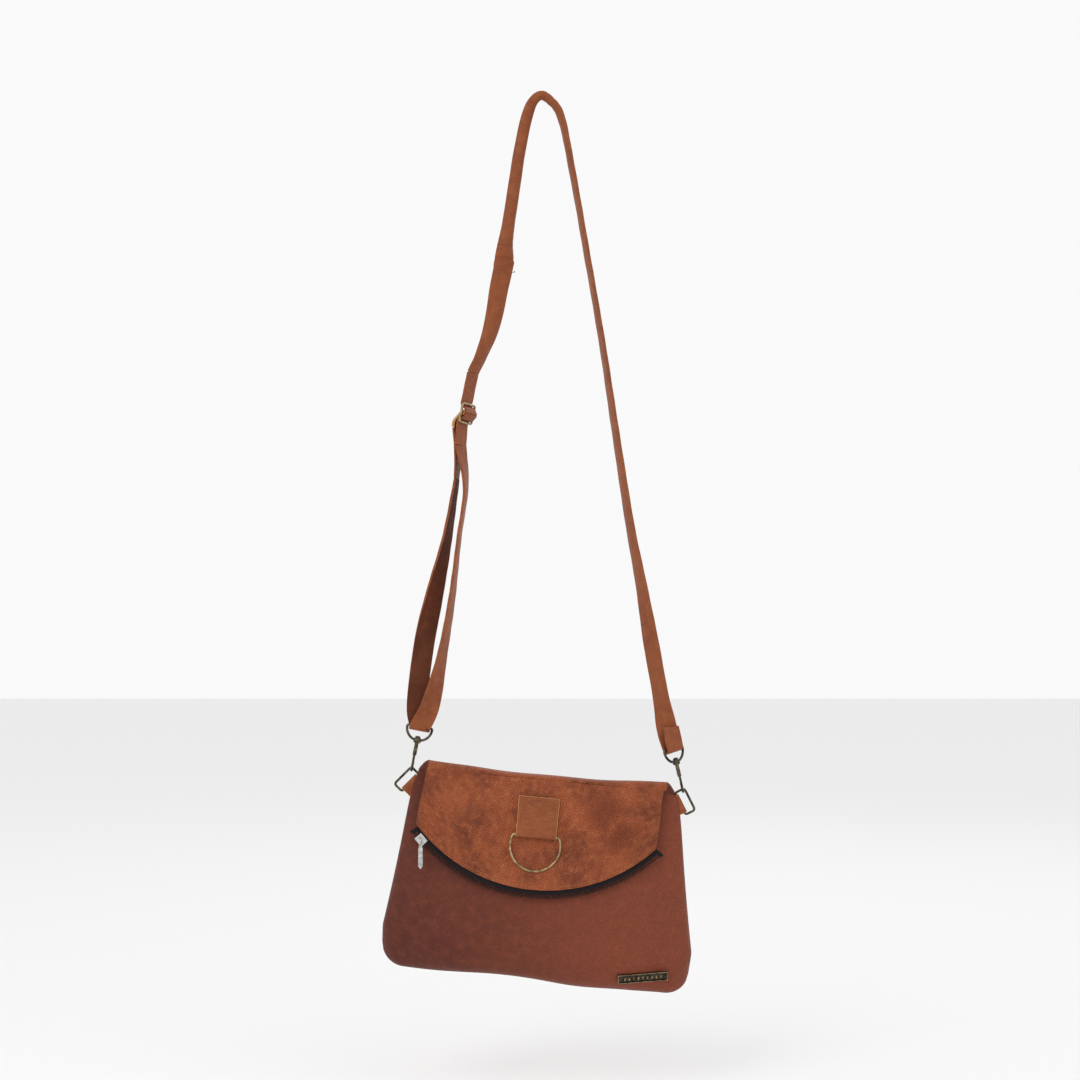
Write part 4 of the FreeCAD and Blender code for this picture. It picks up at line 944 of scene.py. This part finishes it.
def band(name, rows, thick=STRAP_THICK, face=None, edge=None, length_steps=None):
    """A band laid through rows of (x, y, z, wx, wy, wz, roll)."""
    rows = np.asarray(rows, dtype=float)
    run = np.linalg.norm(np.diff(rows[:, :3], axis=0), axis=1).sum()
    count = length_steps or max(int(run / 2.2), 30)
    line = through(rows, count + 1)
    place, width, roll = line[:, :3], line[:, 3:6], np.radians(np.maximum(line[:, 6], 0.5))
    ahead = np.gradient(place, axis=0)
    ahead /= np.linalg.norm(ahead, axis=1)[:, None]
    width = width - ahead * (width * ahead).sum(axis=1)[:, None]
    width /= np.linalg.norm(width, axis=1)[:, None]
    normal = np.cross(ahead, width)

    def lay(a, t):
        row = np.rint(t * count).astype(int)
        theta = roll[row]
        radius = 2 * STRAP_HALF / theta
        turn = (a - 0.5) * theta
        side = radius * np.sin(turn)
        rise = radius * (np.cos(turn) - np.sin(theta / 2) / (theta / 2))
        soft = 0.16 * np.sin(t * run / 9 + a * 3) * np.sin(a * math.pi) + 0.1 * np.sin(t * run / 3.7 + 1)
        return (place[row] + width[row] * side[:, None] + normal[row] * (rise + soft)[:, None]).T

    piece = sheet(name, 20, count, lay, (2 * STRAP_HALF, run))
    dress(piece, face or strap_hide, edge or strap_hide, strap_hide)
    modify(piece, "SOLIDIFY", thickness=thick * MM, offset=0.0, material_offset=2, material_offset_rim=1)
    modify(piece, "BEVEL", width=0.42 * thick * MM, segments=3, limit_method="ANGLE",
           angle_limit=math.radians(50))
    outward(piece)
    smooth(piece, 60)
    return piece


def row(x, y, z, turn, roll=0.0):
    angle = math.radians(turn)
    return [x, y, z, math.cos(angle), math.sin(angle), 0, roll]


def in_frame(matrix, point, width, roll=0.0):
    at = matrix @ (Vector(point) * MM) / MM
    way = matrix.to_3x3() @ Vector(width)
    return [*at, *way, roll]


# %% Frames of the eyes and the adjuster
EYE_LIFT, EYE_BAR, STRAP_LOOP = 39.4, 1.5, 3.1
RIGHT_EYE_TURN = math.radians(40)


def hook_frame(side):
    up = axis(f"{side}_swivel")
    return frame_from(Vector((up.z, 0, -up.x)), Vector((0, 1, 0)), pivot(f"{side}_swivel"))


def eye_frame(side):
    turn = RIGHT_EYE_TURN if side == "right" else 0
    lift = Matrix.Translation(Vector((0, 0, EYE_LIFT)) * MM)
    return hook_frame(side) @ lift @ Matrix.Rotation(turn, 4, "Z")


def round_eye(side, first, last, steps):
    """Rows round an eye's bar, from its front (0) below it (90) to its back (180)."""
    found = []
    for angle in np.radians(np.linspace(first, last, steps)):
        point = (0, -STRAP_LOOP * math.cos(angle), EYE_BAR - STRAP_LOOP * math.sin(angle))
        found.append(in_frame(eye_frame(side), point, (1, 0, 0)))
    return found


up_strap = axis("adjuster_slide")
ADJUSTER_TURN = math.radians(62)
adjuster = frame_from(Vector((up_strap.z, 0, -up_strap.x)), Vector((0, 1, 0)), pivot("adjuster_slide")) \
    @ Matrix.Rotation(ADJUSTER_TURN, 4, "Z")


def on_adjuster(along, out, roll=0.0):
    return in_frame(adjuster, (0, -out, along), (1, 0, 0), roll)


# %% The long piece, over the peg to the right hook
long_rows = [
    row(-37.0, 0, -167.0, 22, 20), row(-35.6, 0, -158.0, 24, 60), row(-31.2, 0, -130.0, 38, 200),
    row(-26.0, 0, -95.0, 42, 225), row(-19.9, 0, -55.0, 45, 235), row(-12.7, 0, -20.0, 60, 235),
    row(-6.5, 0, -4.6, 80, 215), row(0.5, 0, 0.6, 90, 200), row(9.0, 0, -4.8, 96, 150),
    row(18.5, 0, -20.0, 100, 90), row(28.2, 0, -65.0, 100, 50), row(43.8, 0, -152.5, 100, 35),
    row(58.9, 0, -240.2, 101, 30), row(72.1, 0, -327.9, 104, 30), row(85.7, 0, -415.5, 108, 30),
    row(96.9, 0, -474.0, 116, 25), row(107.1, 1, -532.4, 132, 20), row(117.9, 3, -590.8, 138, 10),
]
turned_over = [r[:3] + [-r[3], -r[4], -r[5]] + r[6:] for r in long_rows]
tail = [in_frame(eye_frame("right"), (0.0, -STRAP_LOOP - 0.2, EYE_BAR + 10), (1, 0, 0)),
        in_frame(eye_frame("right"), (1.2, -STRAP_LOOP + 0.1, EYE_BAR + 21), (0.97, 0.1, -0.2))]
long_piece = band("strap_long_band", turned_over + round_eye("right", 180, 0, 9) + tail)
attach(long_piece, "strap")
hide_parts("strap_long_piece")

# %% Below the join, down to the adjuster
above, below = on_adjuster(40, -3.0, 10), on_adjuster(-32, 0.3)
upper_rows = [
    row(-34.6, -1.6, -158.0, 22, 50), row(-37.0, -1.6, -169.0, 22, 30), row(-40.5, -1.4, -186.0, 24, 50),
    row(-47.0, -1.0, -222.0, 38, 60), row(-56.6, -0.9, -250.0, 56, 50), above,
]
upper = band("strap_upper_band", upper_rows)
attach(upper, "strap")
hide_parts("strap_short_piece_upper")

OVER, UNDER = 5.15, 3.0
leaning = (OVER + UNDER) / 9
across_bars = math.sqrt(1 - leaning**2)
over_edge = (OVER * leaning, OVER * across_bars)
under_edge = (9 - UNDER * leaning, -UNDER * across_bars)
half_way = ((over_edge[0] + under_edge[0]) / 2, (over_edge[1] + under_edge[1]) / 2)
weave = [on_adjuster(17, -UNDER), on_adjuster(9, -UNDER), on_adjuster(*under_edge), on_adjuster(*half_way),
         on_adjuster(*over_edge), on_adjuster(0, OVER)]
weave_down = [on_adjuster(0, OVER), on_adjuster(-over_edge[0], over_edge[1]),
              on_adjuster(-half_way[0], half_way[1]), on_adjuster(-under_edge[0], under_edge[1]),
              on_adjuster(-9, -UNDER), on_adjuster(-18, -UNDER + 1)]
pass_upper = band("strap_pass_upper", [above] + weave, length_steps=50)
pass_lower = band("strap_pass_lower", weave_down + [below], length_steps=46)


def middle_of(row_of_band):
    return tuple(Vector(row_of_band[:3]) * MM)


middle_of(above)
middle_of(weave[1])
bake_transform(pass_upper)
middle_of(below)
middle_of(weave_down[4])
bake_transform(pass_lower)
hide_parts("strap_adjuster_pass")

# %% The loop through the left eye, and the sewn end
back_top = row(-82.5, 4.0, -372.0, 82, 10)
loop_rows = [
    below, row(-73.0, -3.0, -380.0, 82, 10), row(-79.5, -4.0, -430.0, 84, 10),
    row(-86.5, -4.5, -489.0, 78, 10), row(-96.5, -4.0, -547.0, 66, 14), row(-107.5, -4.0, -592.0, 30, 8),
]
back_rows = [
    row(-121.0, 5.0, -590.8, 6, 8), row(-114.0, 6.5, -532.4, 10, 14), row(-104.0, 6.0, -484.0, 38, 14),
    row(-92.0, 5.0, -430.0, 68, 10), back_top,
]
# One face of the loop takes the darker inner leather: partly its flesh side, partly painted shade.
lower_loop = band("strap_lower_loop", loop_rows + round_eye("left", 0, 180, 9) + back_rows, face=flesh_side_and_shade)
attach(lower_loop, "strap")
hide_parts("strap_short_piece_front_leg", "strap_short_piece_back_leg")

SEWN_INNER, SEWN_OUTER, SEWN_FOOT = 6.05, 7.65, -15.5


def behind(radius):
    crossing = (radius * across_bars, -9 + radius * leaning)
    run = ((radius, SEWN_FOOT), (radius, -9), crossing)
    return [in_frame(adjuster, (0, y, z), (1, 0, 0)) for y, z in run]


bar_round = [in_frame(adjuster, (0, -2.15 * math.cos(a), -2.15 * math.sin(a)), (1, 0, 0))
             for a in np.radians(np.linspace(-180, 53, 11))]
sewn_rows = behind(SEWN_OUTER) + bar_round + behind(SEWN_INNER)[::-1]
sewn = band("strap_sewn_loop", sewn_rows, thick=1.5, length_steps=90, edge=pale_edge)
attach(sewn, "adjuster")
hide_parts("strap_sewn_end")
sewn_foot = on_adjuster(SEWN_FOOT + 0.8, -(SEWN_INNER + SEWN_OUTER) / 2)
back_link = band("strap_back_link", [back_top, row(-81.0, 4.2, -346.0, 74, 6), sewn_foot], length_steps=40)
middle_of(back_top)
middle_of(sewn_foot)
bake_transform(back_link)
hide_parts("strap_back_leg_top")

# %% Stitches and a loose thread at the strap's join
seam_way = np.array([math.cos(math.radians(22)), math.sin(math.radians(22)), 0])
seam_out = np.array([math.sin(math.radians(22)), -math.cos(math.radians(22)), 0])
seam_at = np.array([-37.2, -1.6, -170.5]) + 1.9 * seam_out
seam_row = [seam_at + seam_way * step for step in np.linspace(-8, 8, 20)]
stitches("strap_join_stitches", seam_row, "strap", Matrix(), pitch=2.6, length=1.9,
         wide=0.3)
tuft_from = seam_at + seam_way * 8.5
tuft_steps = [(0, 0, 0), (1.6, -0.4, -0.6), (2.6, 0.3, 0.8), (3.4, 0.4, -0.9)]
tuft = tube("strap_join_thread", through([tuft_from + step for step in tuft_steps], 24), 0.3, Matrix(), 6)
dress(tuft, thread)
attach(tuft, "strap")

# %% [markdown]
# ## The zip
# The tapes, the slider and its pull are the CAD's own.  The chain between the tapes is made here: two rows
# of small moulded teeth, one row from each tape, taking turns.

# %% Zip teeth
TOOTH_PITCH = 1.5
TEETH_RADIUS = 158.2 + 4.4 + 0.1 + 2.0
ZIP_Y = -6.5
arc_frame = frame_from(-axis("flap_fold"), -axis("zip_travel"), pivot("zip_travel"))
bpy.ops.object.select_all(action="DESELECT")
bpy.ops.mesh.primitive_cube_add(size=1)
tooth = bpy.context.object
tooth_points = points_of(tooth)
head = np.where(tooth_points[:, 2] < 0, 1.25, 0.8)
tooth_shape = tooth_points * np.array([0.95, 2.7, 2.6]) * np.stack([head, np.ones(8), np.ones(8)], axis=1)
tooth_faces = [tuple(p.vertices) for p in tooth.data.polygons]
bpy.data.objects.remove(tooth)
half_turn = 46.2
count = int(math.radians(2 * half_turn) * TEETH_RADIUS / TOOTH_PITCH)
points, faces = [], []
for number in range(count):
    angle = math.radians(-half_turn + 2 * half_turn * (number + 0.5) / count)
    down = np.array([math.sin(angle), 0, -math.cos(angle)])
    across = np.array([math.cos(angle), 0, math.sin(angle)])
    flip = 1 if number % 2 else -1
    basis = np.stack([across, np.array([0, 1, 0]), -down * flip])
    at = down * (TEETH_RADIUS + 0.55 * flip) + np.array([0, ZIP_Y, 0])
    faces += [tuple(i + len(points) * 8 for i in face) for face in tooth_faces]
    points.append(at + tooth_shape @ basis)
mesh = bpy.data.meshes.new("zip_chain_teeth")
mesh.from_pydata(placed(arc_frame, np.concatenate(points)).tolist(), [], faces)
chain = bpy.data.objects.new("zip_chain_teeth", mesh)
bpy.context.scene.collection.objects.link(chain)
modify(chain, "BEVEL", width=0.16 * MM, segments=1, limit_method="ANGLE")
outward(chain)
smooth(chain, 50)
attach(chain, "flap")
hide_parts("zip_teeth")


# %% [markdown]
# ## Metal
# The rings and hooks are plated and then antiqued: dark in the hollows, brighter where they rub.  The buckle
# and the big ring are a lighter brass, and the zip's slider is bright nickel.

# %% Metal finishes
def metal(name, dark, bright, roughness, grime=0.5, scratch=0.04):
    graph = Graph(name)
    place = graph.space()
    tarnish = graph.noise(place, 240.0, 5.0, 0.65)
    drawn = graph.node("ShaderNodeMapping", None, Vector=place, Scale=(900, 900, 120)).out()
    streaks = graph.noise(drawn, 2.0, 3.0)
    rub = graph.noise(place, 90.0, 3.0)
    colour = graph.blend(tarnish.between(0.36, 0.64), dark, bright)
    colour = graph.blend(rub.between(0.52, 0.78) * grime, colour, tuple(0.35 * c for c in dark))
    gloss = roughness + tarnish * 0.18 + streaks * 0.1 - 0.08
    return graph.finish(Base_Color=colour, Roughness=gloss, Metallic=1.0,
                        Normal=graph.bump(streaks * 0.6 + tarnish * 0.6, scratch))


dark_brass = metal("antique_brass", (0.035, 0.030, 0.024), (0.150, 0.122, 0.085), 0.34)
light_brass = metal("rubbed_brass", (0.22, 0.15, 0.075), (0.50, 0.36, 0.19), 0.28, 0.35)
nickel = metal("bright_nickel", (0.40, 0.39, 0.38), (0.66, 0.65, 0.63), 0.22, 0.3, 0.02)
plate_brass = metal("plate_brass", (0.030, 0.026, 0.020), (0.085, 0.068, 0.048), 0.42, 0.5)
moulded = metal("moulded_teeth", (0.005, 0.004, 0.005), (0.016, 0.013, 0.014), 0.5, 0.4)
moulded.node_tree.nodes["Principled BSDF"].inputs["Metallic"].default_value = 0.0
moulded.node_tree.nodes["Principled BSDF"].inputs["Specular IOR Level"].default_value = 0.15
dress(chain, moulded)

finishes = {
    "d_ring": light_brass, "adjuster_frame": light_brass, "adjuster_bar": light_brass,
    "zip_slider": nickel, "zip_bridge": nickel, "zip_link": nickel, "zip_pull": nickel,
    "zip_stop_left": moulded, "zip_stop_right": moulded,
    "zip_tape_front": twill, "zip_tape_back": twill,
    "name_plate": plate_brass, "name_plate_pins": plate_brass,
}
for side in ("left", "right"):
    rod = frame["nodes"][f"{side}_gate_spring"]
    ends = placed(rod.matrix_world, points_of(rod) / MM) / MM
    way = np.linalg.svd(ends - ends.mean(axis=0), full_matrices=False)[2]
    reach = (ends - ends.mean(axis=0)) @ way.T
    t = np.linspace(0, 1, 140)
    turns = t[:, None] * 2 * math.pi * 7
    coil_radius = max(reach[:, 1].max() - 0.16, 0.2)
    helix = (ends.mean(axis=0) + way[0] * (reach[:, 0].min() + np.ptp(reach[:, 0]) * t)[:, None]
             + coil_radius * (way[1] * np.cos(turns) + way[2] * np.sin(turns)))
    coil = tube(f"{side}_gate_coil", helix, 0.16, Matrix(), 6)
    dress(coil, nickel)
    low_end, high_end = helix[0], helix[-1]
    gate_at = np.array(pivot(f"{side}_gate_open")) / MM
    hinge_first = np.linalg.norm(low_end - gate_at) < np.linalg.norm(high_end - gate_at)
    start, end = (low_end, high_end) if hinge_first else (high_end, low_end)
    tuple(start * MM)
    tuple(end * MM)
    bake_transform(coil)
    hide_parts(f"{side}_gate_spring")
    for part in ("ring", "hook", "gate", "gate_pin", "swivel_rivet", "eye"):
        finishes[f"{side}_{part}"] = dark_brass
for name, material in finishes.items():
    dress(frame["nodes"][name], material)

# %% Rim and ribs of the plate
# The plate keeps its CAD body as the dark field; its own longest, middle and shortest ways give its frame.
plate = frame["nodes"]["name_plate"]
corners = placed(plate.matrix_world, points_of(plate) / MM) / MM
centre = (corners.min(axis=0) + corners.max(axis=0)) / 2
ways = np.linalg.svd(corners - corners.mean(axis=0), full_matrices=False)[2]
along = Vector(ways[0] * np.sign(ways[0][0]))
facing = Vector(ways[2] * np.sign(ways[2][1]))
plate_frame = frame_from(along, facing, Vector(centre) * MM)
local = (corners - centre) @ np.array(plate_frame.to_3x3())
PLATE_HALF = local.max(axis=0)
print("plate half sizes in mm", PLATE_HALF.round(2))


def plate_bar(name, centre_mm, size_mm, material):
    """A small rounded bar standing on the plate."""
    bpy.ops.object.select_all(action="DESELECT")
    bpy.ops.mesh.primitive_cube_add(size=1)
    piece = bpy.context.object
    piece.name = name
    shape = points_of(piece) * np.array(size_mm) + np.array(centre_mm)
    set_points(piece, placed(plate_frame, shape))
    modify(piece, "BEVEL", width=0.28 * min(size_mm) * MM, segments=2, limit_method="ANGLE")
    dress(piece, material)
    smooth(piece, 50)
    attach(piece, "bag")


RIM_WIDE, RIM_INSET = 0.75, 0.55
rubbed = metal("rubbed_plate_rim", (0.12, 0.088, 0.05), (0.36, 0.27, 0.16), 0.34, 0.4)
wide, tall, front = PLATE_HALF[0], PLATE_HALF[2], -PLATE_HALF[1] - 0.05
for number, sign in enumerate((-1, 1)):
    above_middle, beside_middle = sign * (tall - RIM_INSET), sign * (wide - RIM_INSET)
    long_bar, short_bar = (2 * wide - 0.1, 0.6, RIM_WIDE), (RIM_WIDE, 0.6, 2 * tall - 0.1)
    plate_bar(f"plate_rim_long_{number}", (0, front, above_middle), long_bar, rubbed)
    plate_bar(f"plate_rim_short_{number}", (beside_middle, front, 0), short_bar, rubbed)
for number, place in enumerate(np.linspace(-0.72, 0.72, 9)):
    plate_bar(f"plate_rib_{number}", (place * wide, front, 0), (1.5, 0.5, tall * 0.7), rubbed)

# %% [markdown]
# ## Floor, light and camera

# %% Studio
def studio():
    low = cad_box[0][2] - 0.10
    bpy.ops.object.select_all(action="DESELECT")
    bpy.ops.mesh.primitive_plane_add(size=12, location=(0, 0, low))
    floor = bpy.context.object
    floor.name = "floor"
    back = Graph("pale_floor")
    dress(floor, back.finish(Base_Color=(0.86, 0.86, 0.86), Roughness=0.9))
    world = bpy.data.worlds.new("studio")
    bpy.context.scene.world = world
    world.use_nodes = True
    world.node_tree.nodes["Background"].inputs["Color"].default_value = (1.0, 1.0, 1.0, 1)
    world.node_tree.nodes["Background"].inputs["Strength"].default_value = 0.95
    bpy.context.scene.view_settings.view_transform = "Standard"


def lamp(name, place, aim, power, size):
    bpy.ops.object.select_all(action="DESELECT")
    bpy.ops.object.light_add(type="AREA", location=place)
    light = bpy.context.object
    light.name = name
    light.data.energy = power
    light.data.size = size
    light.rotation_euler = (Vector(aim) - Vector(place)).to_track_quat("-Z", "Y").to_euler()


studio()
CENTRE = Vector((0, 0, -0.45))
lamp("key", (-1.2, -2.0, 1.1), CENTRE, 16, 1.2)
lamp("fill", (1.8, -1.6, 0.2), CENTRE, 4, 1.8)
lamp("rim", (0.6, 1.6, 0.8), CENTRE, 4, 1.2)

# %% Camera, level and straight on, a little over two metres away
FRAME_SPAN = 1.0518
DISTANCE = 2.4
bpy.ops.object.select_all(action="DESELECT")
bpy.ops.object.camera_add(location=(-0.001, -DISTANCE, -0.4315), rotation=(math.pi / 2, 0, 0))
camera = bpy.context.object
camera.data.sensor_fit = "HORIZONTAL"
camera.data.lens = camera.data.sensor_width * DISTANCE / FRAME_SPAN
bpy.context.scene.camera = camera
